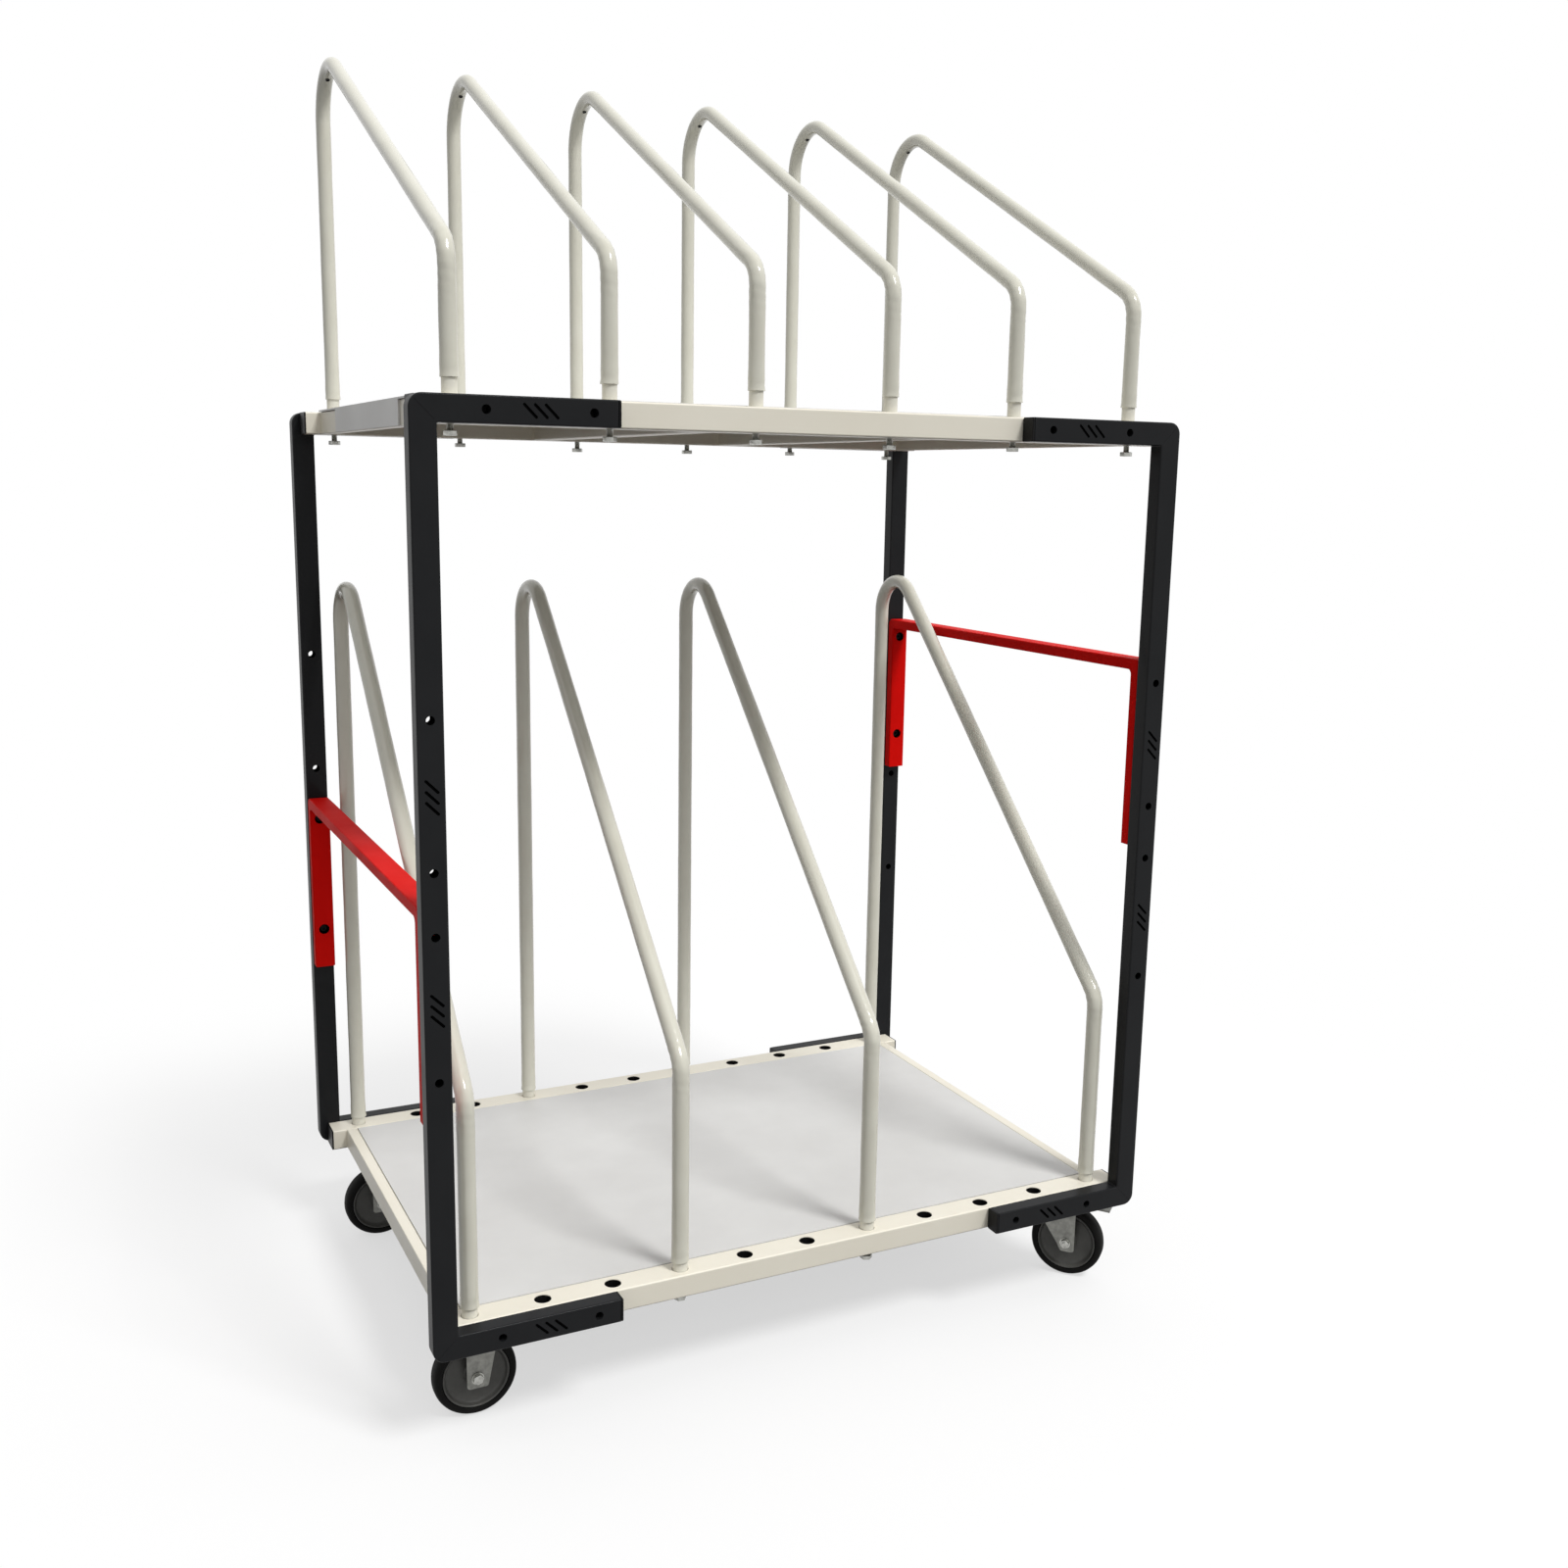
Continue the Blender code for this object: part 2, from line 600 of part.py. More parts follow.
def build_fork(name, trail, top, crown_bottom, neck, parent):
    """Build the two legs and crown of a caster, open where the wheel runs."""
    outline = leg_outline(trail, top, neck)
    mesh = plate_mesh(name, outline, 2 * FORK_HALF_WIDTH)
    fork = place(name, mesh, "zinc_plate", (0, 0, 0), FACING_FRONT, parent)
    reach = trail + neck + FORK_EDGE

    def slot(shape):
        add_box(shape, (-reach, -WHEEL_RADIUS, -FORK_INNER_WIDTH / 2), (reach, crown_bottom, FORK_INNER_WIDTH / 2))

    def axle_hole(shape):
        facet = math.cos(math.pi / HUB_SIDES)
        add_cylinder(shape, (trail, WHEEL_RADIUS, 0), (0, 0, 1), (AXLE_DIAMETER + 2 * GAP) / facet,
                     4 * FORK_HALF_WIDTH, HUB_SIDES)

    boolean(fork, place_cutter(name + "_slot", new_mesh(name + "_slot", slot), fork), "DIFFERENCE")
    boolean(fork, place_cutter(name + "_bore", new_mesh(name + "_bore", axle_hole), fork), "DIFFERENCE")
    return fork


def caster_frame(name, side, outward, angle):
    """Add the empty that carries one caster, on its swivel axis at floor level."""
    frame = bpy.data.objects.new(name, None)
    frame.location = (side * CASTER_X, outward * CASTER_Y, 0)
    frame.rotation_euler.z = angle
    PARTS.objects.link(frame)
    return frame


def rounded_plate(name):
    """Return the mesh of a caster's top plate with round corners."""
    half_x, half_y = PLATE_WIDTH / 2, PLATE_LENGTH / 2
    corners = [(-half_x, -half_y), (half_x, -half_y), (half_x, half_y), (-half_x, half_y)]
    return plate_mesh(name, rounded([(x, y, PLATE_CORNER) for x, y in corners]), PLATE_THICKNESS)


def build_fixed_caster(prefix, side, outward):
    """Build a fixed caster: plate and legs in one pressing, with the axle under the plate."""
    frame = caster_frame(prefix, side, outward, FIXED_ANGLE)
    name = prefix + "_bracket"
    fork = build_fork(name, 0.0, PLATE_BOTTOM + PLATE_THICKNESS / 2, PLATE_BOTTOM, FORK_NECK, frame)
    plate = bpy.data.objects.new(name + "_plate", rounded_plate(name + "_plate"))
    plate.location = (0, 0, (PLATE_TOP + PLATE_BOTTOM) / 2)
    plate.parent = frame
    plate.hide_render = True
    plate.display_type = "WIRE"
    CUTTERS.objects.link(plate)
    boolean(fork, plate, "UNION")
    build_wheel(prefix, (0, 0, WHEEL_RADIUS), frame)


def build_swivel_caster(prefix, side, outward):
    """Build a swivel caster with brake: plate and race on the frame, fork and wheel below."""
    fixed = caster_frame(prefix, side, outward, 0.0)
    turning = caster_frame(prefix + "_turning", side, outward, SWIVEL_ANGLE)
    name = prefix + "_plate"
    plate = place(name, rounded_plate(name), "zinc_plate", (0, 0, (PLATE_TOP + PLATE_BOTTOM) / 2), parent=fixed)

    def race(shape):
        overlap = PLATE_THICKNESS / 2
        add_cylinder(shape, (0, 0, -overlap - RACE_HEIGHT / 2 + overlap / 2), (0, 0, 1),
                     RACE_DIAMETER, RACE_HEIGHT + overlap, HUB_SIDES)

    boolean(plate, place_cutter(name + "_race", new_mesh(name + "_race", race), plate), "UNION")

    fork = build_fork(prefix + "_fork", FORK_TRAIL, CROWN_TOP, CROWN_BOTTOM, FORK_NECK, turning)

    def fork_race(shape):
        overlap = CROWN_THICKNESS / 2
        add_cylinder(shape, (0, CROWN_TOP + (FORK_RACE_HEIGHT - overlap) / 2, 0), (0, 1, 0),
                     RACE_DIAMETER, FORK_RACE_HEIGHT + overlap, HUB_SIDES)

    boolean(fork, place_cutter(prefix + "_fork_race", new_mesh(prefix + "_fork_race", fork_race), fork), "UNION")
    build_wheel(prefix, (FORK_TRAIL, 0, WHEEL_RADIUS), turning)
    build_pedal(prefix + "_brake_pedal", turning)


def build_pedal(name, parent):
    """Build the brake pedal: a bent lever above the tyre on a pin between the fork legs."""
    pivot_z = 2 * WHEEL_RADIUS + PEDAL_CLEARANCE + PEDAL_PIN_DIAMETER / 2
    half = PEDAL_THICKNESS / 2
    bend_x, reach = PEDAL_BEND_X - PEDAL_PIVOT_X, PEDAL_REACH - PEDAL_PIVOT_X
    outline = [
        (-PEDAL_PIN_DIAMETER, -half), (bend_x, -half), (reach, PEDAL_RISE - half),
        (reach, PEDAL_RISE + half), (bend_x, half), (-PEDAL_PIN_DIAMETER, half)]
    mesh = plate_mesh(name, outline, PEDAL_WIDTH)
    pedal = place(name, mesh, "zinc_plate", (PEDAL_PIVOT_X, 0, pivot_z), FACING_FRONT, parent)

    def pin(shape):
        add_cylinder(shape, (0, 0, 0), (0, 0, 1), PEDAL_PIN_DIAMETER, FORK_INNER_WIDTH - 2 * GAP, HOLE_SIDES)

    boolean(pedal, place_cutter(name + "_pin", new_mesh(name + "_pin", pin), pedal), "UNION")


for upright_name, upright_side, upright_face in (
        ("front_left_upright", -1, -1), ("front_right_upright", 1, -1),
        ("rear_left_upright", -1, 1), ("rear_right_upright", 1, 1)):
    build_upright(upright_name, upright_side, upright_face)

build_shelf("lower", LOWER_RAIL_BOTTOM, LOWER_SOCKET_DIAMETER)
build_lower_panel()
build_shelf("upper", UPPER_RAIL_BOTTOM, UPPER_SOCKET_DIAMETER)
build_upper_panel()

for socket in LOWER_HOOP_SOCKETS:
    build_hoop("lower", socket, LOWER_RAIL_BOTTOM, LOWER_TUBE_DIAMETER, LOWER_FRONT_CORNER,
               LOWER_REAR_CORNER, LOWER_APEX_BEND, LOWER_SLEEVE_LIFT)
for socket in UPPER_HOOP_SOCKETS:
    build_hoop("upper", socket, UPPER_RAIL_BOTTOM, UPPER_TUBE_DIAMETER, UPPER_FRONT_CORNER,
               UPPER_REAR_CORNER, UPPER_APEX_BEND, UPPER_SLEEVE_LIFT)

build_handle("left_handle", -1, LOWER_HANDLE_HOLE)
build_handle("right_handle", 1, UPPER_HANDLE_HOLE)

build_fixed_caster("front_left_caster", -1, -1)
build_fixed_caster("rear_left_caster", -1, 1)
build_swivel_caster("front_right_caster", 1, -1)
build_swivel_caster("rear_right_caster", 1, 1)
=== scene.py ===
"""Dresses the carton storage trolley: powder-coated frame, sleeved hoops, handles and casters."""
import json
import logging
import math
from dataclasses import dataclass
from enum import Enum
from typing import Any, Callable, Iterable, Mapping, Sequence

import bmesh
import bpy
import numpy as np
from mathutils import Matrix, Vector

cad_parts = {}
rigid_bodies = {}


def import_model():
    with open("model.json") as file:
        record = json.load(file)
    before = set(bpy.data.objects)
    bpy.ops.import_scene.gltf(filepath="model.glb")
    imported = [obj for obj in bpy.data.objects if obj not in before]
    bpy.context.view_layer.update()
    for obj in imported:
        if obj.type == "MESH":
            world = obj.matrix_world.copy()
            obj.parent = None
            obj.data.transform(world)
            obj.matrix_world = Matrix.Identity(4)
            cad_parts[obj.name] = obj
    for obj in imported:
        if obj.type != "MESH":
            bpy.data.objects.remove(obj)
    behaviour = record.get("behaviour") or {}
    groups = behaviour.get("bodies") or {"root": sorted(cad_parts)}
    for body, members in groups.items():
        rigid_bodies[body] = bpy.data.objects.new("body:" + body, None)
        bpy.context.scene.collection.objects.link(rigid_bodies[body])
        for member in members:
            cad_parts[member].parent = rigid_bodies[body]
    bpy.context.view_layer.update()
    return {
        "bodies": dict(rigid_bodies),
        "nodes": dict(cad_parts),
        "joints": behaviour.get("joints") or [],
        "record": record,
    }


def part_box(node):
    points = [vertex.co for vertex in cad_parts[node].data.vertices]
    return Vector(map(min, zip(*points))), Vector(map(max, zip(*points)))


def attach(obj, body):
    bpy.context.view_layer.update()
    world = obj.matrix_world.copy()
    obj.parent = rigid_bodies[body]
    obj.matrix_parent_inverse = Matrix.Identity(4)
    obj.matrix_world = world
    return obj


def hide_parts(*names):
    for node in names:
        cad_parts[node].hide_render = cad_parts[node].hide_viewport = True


LOG = logging.getLogger("trolley")
Array = np.ndarray
Solid = tuple[Array, list[list[int]]]
Profile = list[tuple[float, float]]

# Sizes that several sub-assemblies share, in metres
TUBE_WALL = 0.0018
HANDLE_PITCH = 0.225

# Fine sizes of the meshes in metres: a cutter's rim, a turned solid's radius at its axis, a weld of doubles
CUTTER_RIM = 0.0001
AXIS = 0.0004
MERGE_DISTANCE = 1e-6

# Least cosine of a mitre, so that a sharp corner does not move too far
MITRE_LIMIT = 0.35

# Facets round small turned parts
SCREW_SIDES = 20
BOLT_SIDES = 24


class Slot(Enum):
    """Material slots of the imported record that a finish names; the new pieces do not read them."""

    ANTHRACITE = "anthracite_powder_coat"
    CREAM = "cream_powder_coat"
    TUBE = "white_steel_tube"
    SLEEVE = "pvc_sleeve"
    RED = "red_powder_coat"
    ZINC = "zinc_plate"
    NYLON = "grey_nylon"
    RUBBER = "black_rubber"


class Level(Enum):
    """The two shelves of the trolley."""

    LOWER = "lower"
    UPPER = "upper"


class Side(Enum):
    """The two long sides of the trolley."""

    FRONT = "front"
    REAR = "rear"

    @property
    def outward(self) -> int:
        """Return the way out of this side along Y."""
        return -1 if self is Side.FRONT else 1


class Hand(Enum):
    """The two ends of the trolley."""

    LEFT = "left"
    RIGHT = "right"

    @property
    def outward(self) -> int:
        """Return the way out of this end along X."""
        return -1 if self is Hand.LEFT else 1


class Edge(Enum):
    """The angle in degrees past which an edge stays sharp."""

    TUBE = 32.0
    SMALL = 38.0
    WHEEL = 42.0
    STEEL = 50.0
    SLEEVE = 60.0


SOCKETS_IN_USE: dict[Level, tuple[int, ...]] = {
    Level.LOWER: (1, 4, 7, 11),
    Level.UPPER: (1, 3, 5, 7, 9, 11),
}


@dataclass(frozen=True)
class Finish:
    """A surface finish, with the sizes of its grain and of its soft colour clouds in metres."""

    name: str
    colour: tuple[float, float, float]
    cloud_colour: tuple[float, float, float]
    roughness: float
    roughness_spread: float
    grain_size: float
    grain_height: float
    cloud_size: float
    slot: Slot | None = None
    metallic: float = 0.0
    coat: float = 0.0
    specular: float = 0.5


ANTHRACITE = Finish("anthracite_coat", (0.0105, 0.0111, 0.0122), (0.0140, 0.0145, 0.0156), 0.42, 0.10,
                    grain_size=0.0016, grain_height=0.00004, cloud_size=0.09, slot=Slot.ANTHRACITE,
                    coat=0.06, specular=0.08)
CREAM = Finish("cream_coat", (0.840, 0.800, 0.690), (0.810, 0.765, 0.650), 0.38, 0.10,
               grain_size=0.0020, grain_height=0.00005, cloud_size=0.16, slot=Slot.CREAM, specular=0.40)
SHEET = Finish("shelf_sheet", (0.690, 0.686, 0.672), (0.630, 0.624, 0.610), 0.44, 0.12,
               grain_size=0.0010, grain_height=0.00003, cloud_size=0.22, specular=0.40)
TUBE = Finish("white_tube_coat", (0.740, 0.725, 0.640), (0.700, 0.680, 0.595), 0.34, 0.08,
              grain_size=0.0018, grain_height=0.00004, cloud_size=0.05, slot=Slot.TUBE, specular=0.40)
SLEEVE = Finish("glossy_sleeve", (0.680, 0.668, 0.575), (0.640, 0.624, 0.530), 0.17, 0.05,
                grain_size=0.0150, grain_height=0.00003, cloud_size=0.07, slot=Slot.SLEEVE, coat=0.20)
RED = Finish("red_coat", (0.78, 0.0050, 0.0030), (0.70, 0.0040, 0.0024), 0.55, 0.10,
             grain_size=0.0018, grain_height=0.00005, cloud_size=0.10, slot=Slot.RED, specular=0.05)
ZINC = Finish("zinc_plating", (0.25, 0.25, 0.230), (0.15, 0.15, 0.138), 0.38, 0.14,
              grain_size=0.0007, grain_height=0.00002, cloud_size=0.012, slot=Slot.ZINC, metallic=0.9)
BRIGHT_ZINC = Finish("bright_zinc", (0.50, 0.50, 0.47), (0.30, 0.30, 0.28), 0.26, 0.10,
                     grain_size=0.0006, grain_height=0.00002, cloud_size=0.008, slot=Slot.ZINC,
                     metallic=0.95)
NYLON = Finish("grey_nylon_rim", (0.105, 0.104, 0.096), (0.080, 0.079, 0.073), 0.36, 0.10,
               grain_size=0.0008, grain_height=0.00003, cloud_size=0.020, slot=Slot.NYLON, specular=0.30)
RUBBER = Finish("black_tread", (0.0060, 0.0060, 0.0058), (0.0110, 0.0106, 0.0100), 0.62, 0.14,
                grain_size=0.0009, grain_height=0.00005, cloud_size=0.018, slot=Slot.RUBBER, specular=0.08)
PLASTIC = Finish("black_plug_plastic", (0.0045, 0.0045, 0.0048), (0.0085, 0.0085, 0.0088), 0.40, 0.12,
                 grain_size=0.0008, grain_height=0.00003, cloud_size=0.02, specular=0.12)
SCREW = Finish("blackened_screw", (0.0040, 0.0040, 0.0042), (0.0075, 0.0073, 0.0070), 0.46, 0.12,
               grain_size=0.0006, grain_height=0.00002, cloud_size=0.006, specular=0.10)
# Painted shade: a near-black, matt, glossless finish for the insides of holes, slits and bores, where shade
# falls
PAINTED_SHADE = Finish("painted_shade_black", (0.0016, 0.0016, 0.0017), (0.0024, 0.0024, 0.0024), 0.90, 0.06,
                grain_size=0.0008, grain_height=0.00002, cloud_size=0.01, specular=0.0)


def feed(tree: bpy.types.NodeTree, node: bpy.types.Node, inputs: Mapping[str | int, Any]) -> None:
    """Set or link the inputs of a node.

    Args:
        tree: The tree that the node is in.
        node: The node.
        inputs: For each input a value, or the output of another node that it is linked to.
    """
    for socket, source in inputs.items():
        if isinstance(source, bpy.types.NodeSocket):
            tree.links.new(source, node.inputs[socket])
        else:
            node.inputs[socket].default_value = source


def add_node(tree: bpy.types.NodeTree, kind: str, inputs: Mapping[str | int, Any], **settings: Any
             ) -> bpy.types.Node:
    """Return a new node with its settings made and its inputs fed.

    Args:
        tree: The tree that it goes into.
        kind: The type of node.
        inputs: Values and outputs for its inputs.
        settings: The node's own properties, such as its operation.

    Returns:
        The node.
    """
    node = tree.nodes.new(kind)
    for name, value in settings.items():
        setattr(node, name, value)
    feed(tree, node, inputs)
    return node


@dataclass
class NodeGroups:
    """Shader node groups that several finishes share, each built once."""

    grain_detail: float = 2.0
    grain_fall: float = 0.55
    cloud_detail: float = 4.0
    cloud_fall: float = 0.6
    cloud_low: float = 0.30
    cloud_high: float = 0.72

    def __post_init__(self) -> None:
        """Build the grain and the clouding groups."""
        self.grain = self.build_grain()
        self.clouds = self.build_clouds()

    @staticmethod
    def new_group(name: str, inputs: Mapping[str, str], outputs: Mapping[str, str]
                  ) -> tuple[bpy.types.NodeTree, bpy.types.Node, bpy.types.Node]:
        """Return an empty group with named sockets and its two end nodes.

        Args:
            name: The group's name.
            inputs: The kinds of the sockets that come in, by name.
            outputs: The kinds of the sockets that go out, by name.

        Returns:
            The node tree, its input node and its output node.
        """
        tree = bpy.data.node_groups.new(name, "ShaderNodeTree")
        for way, sockets in (("INPUT", inputs), ("OUTPUT", outputs)):
            for label, kind in sockets.items():
                tree.interface.new_socket(name=label, in_out=way, socket_type="NodeSocket" + kind)
        return tree, tree.nodes.new("NodeGroupInput"), tree.nodes.new("NodeGroupOutput")

    def build_grain(self) -> bpy.types.NodeTree:
        """Build the orange-peel grain of a coat: octaves of noise, put out as a height.

        Returns:
            The group.
        """
        tree, start, end = self.new_group("coat_grain", {"Vector": "Vector", "Scale": "Float"},
                                          {"Height": "Float"})
        noise = add_node(tree, "ShaderNodeTexNoise", {
            "Vector": start.outputs["Vector"], "Scale": start.outputs["Scale"],
            "Detail": self.grain_detail, "Roughness": self.grain_fall})
        feed(tree, end, {"Height": noise.outputs["Fac"]})
        return tree

    def build_clouds(self) -> bpy.types.NodeTree:
        """Build soft clouds: a slow noise that mixes two colours and spreads the roughness.

        Returns:
            The group.
        """
        tree, start, end = self.new_group(
            "soft_clouds",
            {"Vector": "Vector", "Scale": "Float", "Colour": "Color", "Cloud Colour": "Color",
             "Low": "Float", "High": "Float"},
            {"Colour": "Color", "Roughness": "Float"})
        given = start.outputs
        noise = add_node(tree, "ShaderNodeTexNoise", {
            "Vector": given["Vector"], "Scale": given["Scale"],
            "Detail": self.cloud_detail, "Roughness": self.cloud_fall}).outputs["Fac"]
        spread = add_node(tree, "ShaderNodeMapRange", {
            "Value": noise, "From Min": self.cloud_low, "From Max": self.cloud_high})
        # A mix of colours has its two colours at inputs 6 and 7 and its result at output 2
        mix = add_node(tree, "ShaderNodeMix", {
            "Factor": spread.outputs["Result"], 6: given["Colour"], 7: given["Cloud Colour"]},
            data_type="RGBA")
        rough = add_node(tree, "ShaderNodeMapRange", {
            "Value": noise, "To Min": given["Low"], "To Max": given["High"]})
        feed(tree, end, {"Colour": mix.outputs[2], "Roughness": rough.outputs["Result"]})
        return tree


class FinishBook:
    """Makes each finish into a material once."""

    coat_roughness: float = 0.08
    bump_strength: float = 0.6

    def __init__(self) -> None:
        """Build the shared groups and start with no materials."""
        self.groups = NodeGroups()
        self.made: dict[str, bpy.types.Material] = {}

    def material(self, finish: Finish) -> bpy.types.Material:
        """Return the material of a finish.

        Args:
            finish: The finish.

        Returns:
            Its Principled material, with clouded colour and roughness and a grain bump.
        """
        if finish.name in self.made:
            return self.made[finish.name]
        material = bpy.data.materials.new(finish.name)
        material.use_nodes = True
        tree = material.node_tree
        place = add_node(tree, "ShaderNodeTexCoord", {}).outputs["Object"]
        clouds = add_node(tree, "ShaderNodeGroup", {
            "Vector": place,
            "Scale": 1.0 / finish.cloud_size,
            "Colour": (*finish.colour, 1.0),
            "Cloud Colour": (*finish.cloud_colour, 1.0),
            "Low": finish.roughness - finish.roughness_spread,
            "High": finish.roughness + finish.roughness_spread}, node_tree=self.groups.clouds)
        grain = add_node(tree, "ShaderNodeGroup", {"Vector": place, "Scale": 1.0 / finish.grain_size},
                         node_tree=self.groups.grain)
        bump = add_node(tree, "ShaderNodeBump", {
            "Strength": self.bump_strength, "Distance": finish.grain_height,
            "Height": grain.outputs["Height"]})
        feed(tree, tree.nodes["Principled BSDF"], {
            "Metallic": finish.metallic,
            "Specular IOR Level": finish.specular,
            "Coat Weight": finish.coat,
            "Coat Roughness": self.coat_roughness,
            "Base Color": clouds.outputs["Colour"],
            "Roughness": clouds.outputs["Roughness"],
            "Normal": bump.outputs["Normal"]})
        self.made[finish.name] = material
        return material


def grid_faces(rings: int, count: int, loop: bool) -> list[list[int]]:
    """Return the quads between rings of points.

    Args:
        rings: How many rings there are.
        count: Points in a ring, which is closed.
        loop: Whether the last ring joins the first.

    Returns:
        Four point numbers for each quad.
    """
    ring = np.arange(rings if loop else rings - 1)[:, None]
    point = np.arange(count)[None, :]
    after = (point + 1) % count
    beyond = (ring + 1) % rings
    quads = np.stack([ring * count + point, ring * count + after,
                      beyond * count + after, beyond * count + point], axis=-1)
    return quads.reshape(-1, 4).tolist()


def solid_from_rings(rings: Array, loop: bool) -> Solid:
    """Return the points and faces of a closed solid from rings of points.

    Args:
        rings: An array of rings by points by three.
        loop: Whether the rings close on themselves; if not, the two ends are capped.

    Returns:
        Points, and faces as lists of point numbers.
    """
    total, count = rings.shape[:2]
    faces = grid_faces(total, count, loop)
    if not loop:
        faces.append(np.arange(count).tolist())
        faces.append(((total - 1) * count + np.arange(count)).tolist())
    return rings.reshape(-1, 3), faces


def make_mesh(name: str, solids: Iterable[Solid]) -> bpy.types.Mesh:
    """Return closed solids as one mesh whose faces point outwards.

    Args:
        name: The mesh's name.
        solids: Points and faces of each solid.

    Returns:
        The mesh, with its doubles merged.
    """
    points: list[Array] = []
    faces: list[list[int]] = []
    offset = 0
    for solid_points, solid_faces in solids:
        points.append(solid_points)
        faces.extend([[number + offset for number in face] for face in solid_faces])
        offset += len(solid_points)
    mesh = bpy.data.meshes.new(name)
    mesh.from_pydata(np.concatenate(points).tolist(), [], faces)
    shape = bmesh.new()
    shape.from_mesh(mesh)
    bmesh.ops.remove_doubles(shape, verts=shape.verts, dist=MERGE_DISTANCE)
    bmesh.ops.recalc_face_normals(shape, faces=shape.faces)
    shape.to_mesh(mesh)
    shape.free()
    return mesh


def round_corners(corners: Sequence[tuple[float, float, float]], steps: int = 6) -> Array:
    """Return an outline with round corners: at each corner an arc that is tangent to both sides.

    Args:
        corners: The corners as (x, y, radius), where a radius of 0 is a sharp corner.
        steps: Straight steps in an arc.

    Returns:
        Points of the outline.
    """
    pieces: list[Array] = []
    for index, (x, y, radius) in enumerate(corners):
        corner = np.array([x, y])
        if radius <= 0:
            pieces.append(corner[None])
            continue
        back = np.array(corners[index - 1][:2]) - corner
        ahead = np.array(corners[(index + 1) % len(corners)][:2]) - corner
        back, ahead = back / np.linalg.norm(back), ahead / np.linalg.norm(ahead)
        half = math.acos(float(np.clip(back @ ahead, -1, 1))) / 2
        middle = back + ahead
        centre = corner + middle / np.linalg.norm(middle) * radius / math.sin(half)
        first = corner + back * radius / math.tan(half) - centre
        last = corner + ahead * radius / math.tan(half) - centre
        turn = math.atan2(first[0] * last[1] - first[1] * last[0], first @ last)
        angle = turn * np.linspace(0, 1, steps + 1)
        arc = np.stack([first[0] * np.cos(angle) - first[1] * np.sin(angle),
                        first[0] * np.sin(angle) + first[1] * np.cos(angle)], axis=-1)
        pieces.append(centre + arc)
    return np.concatenate(pieces)


def inset_outline(outline: Array, depth: float) -> Array:
    """Return an outline moved inwards: each point goes along the mitre of its two sides.

    Args:
        outline: Points of the outline.
        depth: How far its sides move.

    Returns:
        The moved points.
    """
    ahead = np.roll(outline, -1, axis=0) - outline
    ahead = ahead / np.linalg.norm(ahead, axis=1, keepdims=True)
    back = np.roll(ahead, 1, axis=0)
    area = np.sum(outline[:, 0] * np.roll(outline[:, 1], -1) - np.roll(outline[:, 0], -1) * outline[:, 1])
    side = 1.0 if area > 0 else -1.0
    normal = side * np.stack([-(ahead + back)[:, 1], (ahead + back)[:, 0]], axis=-1)
    normal = normal / np.linalg.norm(normal, axis=1, keepdims=True)
    straight = side * np.stack([-ahead[:, 1], ahead[:, 0]], axis=-1)
    scale = np.sum(normal * straight, axis=1, keepdims=True)
    return outline + normal * depth / np.maximum(scale, MITRE_LIMIT)


def soft_prism(outline: Array, depth: float, radius: float, frame: Matrix, steps: int = 4) -> Solid:
    """Return a prism with rounded rims.

    At an angle t of its rounded rim the outline is inset by radius (1 - sin t), and stands radius (1 - cos t)
    inside the end face.

    Args:
        outline: Points of the flat outline.
        depth: Thickness along the frame's third axis, centred on it.
        radius: Radius of the rim.
        frame: Places the outline's x, y and the thickness.
        steps: Facets of a rim.

    Returns:
        Points and faces.
    """
    angle = np.linspace(0, math.pi / 2, steps + 1)
    inset = radius * (1 - np.sin(angle))
    height = depth / 2 - radius * (1 - np.cos(angle))
    insets = np.concatenate([inset, inset[::-1]])
    heights = np.concatenate([height, -height[::-1]])
    rings = np.stack([np.concatenate([inset_outline(outline, float(amount)),
                                      np.full((len(outline), 1), level)], axis=1)
                      for amount, level in zip(insets, heights)])
    return place_solid(solid_from_rings(rings, False), frame)


def cutter(outline: Array, depth: float, frame: Matrix) -> Solid:
    """Return a prism whose rims are nearly sharp, to cut with or to fill a cut with."""
    return soft_prism(outline, depth, CUTTER_RIM, frame, 1)


def turned_solid(profile: Profile, frame: Matrix, sides: int, loop: bool = False) -> Solid:
    """Return a solid of revolution: each (radius, height) of the profile is a ring about the third axis.

    Args:
        profile: Radii and heights, from one end to the other.
        frame: Places the axis.
        sides: Points in a ring.
        loop: Whether the profile closes round a bore.

    Returns:
        Points and faces.
    """
    radius, height = np.array(profile, float).T
    angle = (np.arange(sides) + 0.5) * 2 * math.pi / sides
    rings = np.stack([radius[:, None] * np.cos(angle), radius[:, None] * np.sin(angle),
                      np.broadcast_to(height[:, None], (len(radius), sides))], axis=-1)
    return place_solid(solid_from_rings(rings, loop), frame)


def place_solid(solid: Solid, frame: Matrix) -> Solid:
    """Return a solid moved into a frame.

    Args:
        solid: Points and faces.
        frame: The frame that they are given in.

    Returns:
        The moved points, and the same faces.
    """
    points, faces = solid
    matrix = np.array(frame)
    return points @ matrix[:3, :3].T + matrix[:3, 3], faces


def axes_frame(first: Sequence[float], second: Sequence[float], third: Sequence[float],
               origin: Sequence[float]) -> Matrix:
    """Return the frame with these three axes and this origin.

    Args:
        first: The first axis.
        second: The second axis.
        third: The third axis.
        origin: The origin.

    Returns:
        The frame.
    """
    frame = Matrix.Identity(4)
    for column, axis in enumerate((first, second, third)):
        frame.col[column] = (*axis, 0.0)
    frame.col[3] = (*origin, 1.0)
    return frame


def front_frame(origin: Sequence[float], outward: int = -1) -> Matrix:
    """Return the frame of an outline in the plane of the trolley's front, with this way out along Y."""
    return axes_frame((1, 0, 0), (0, 0, 1), (0, outward, 0), origin)


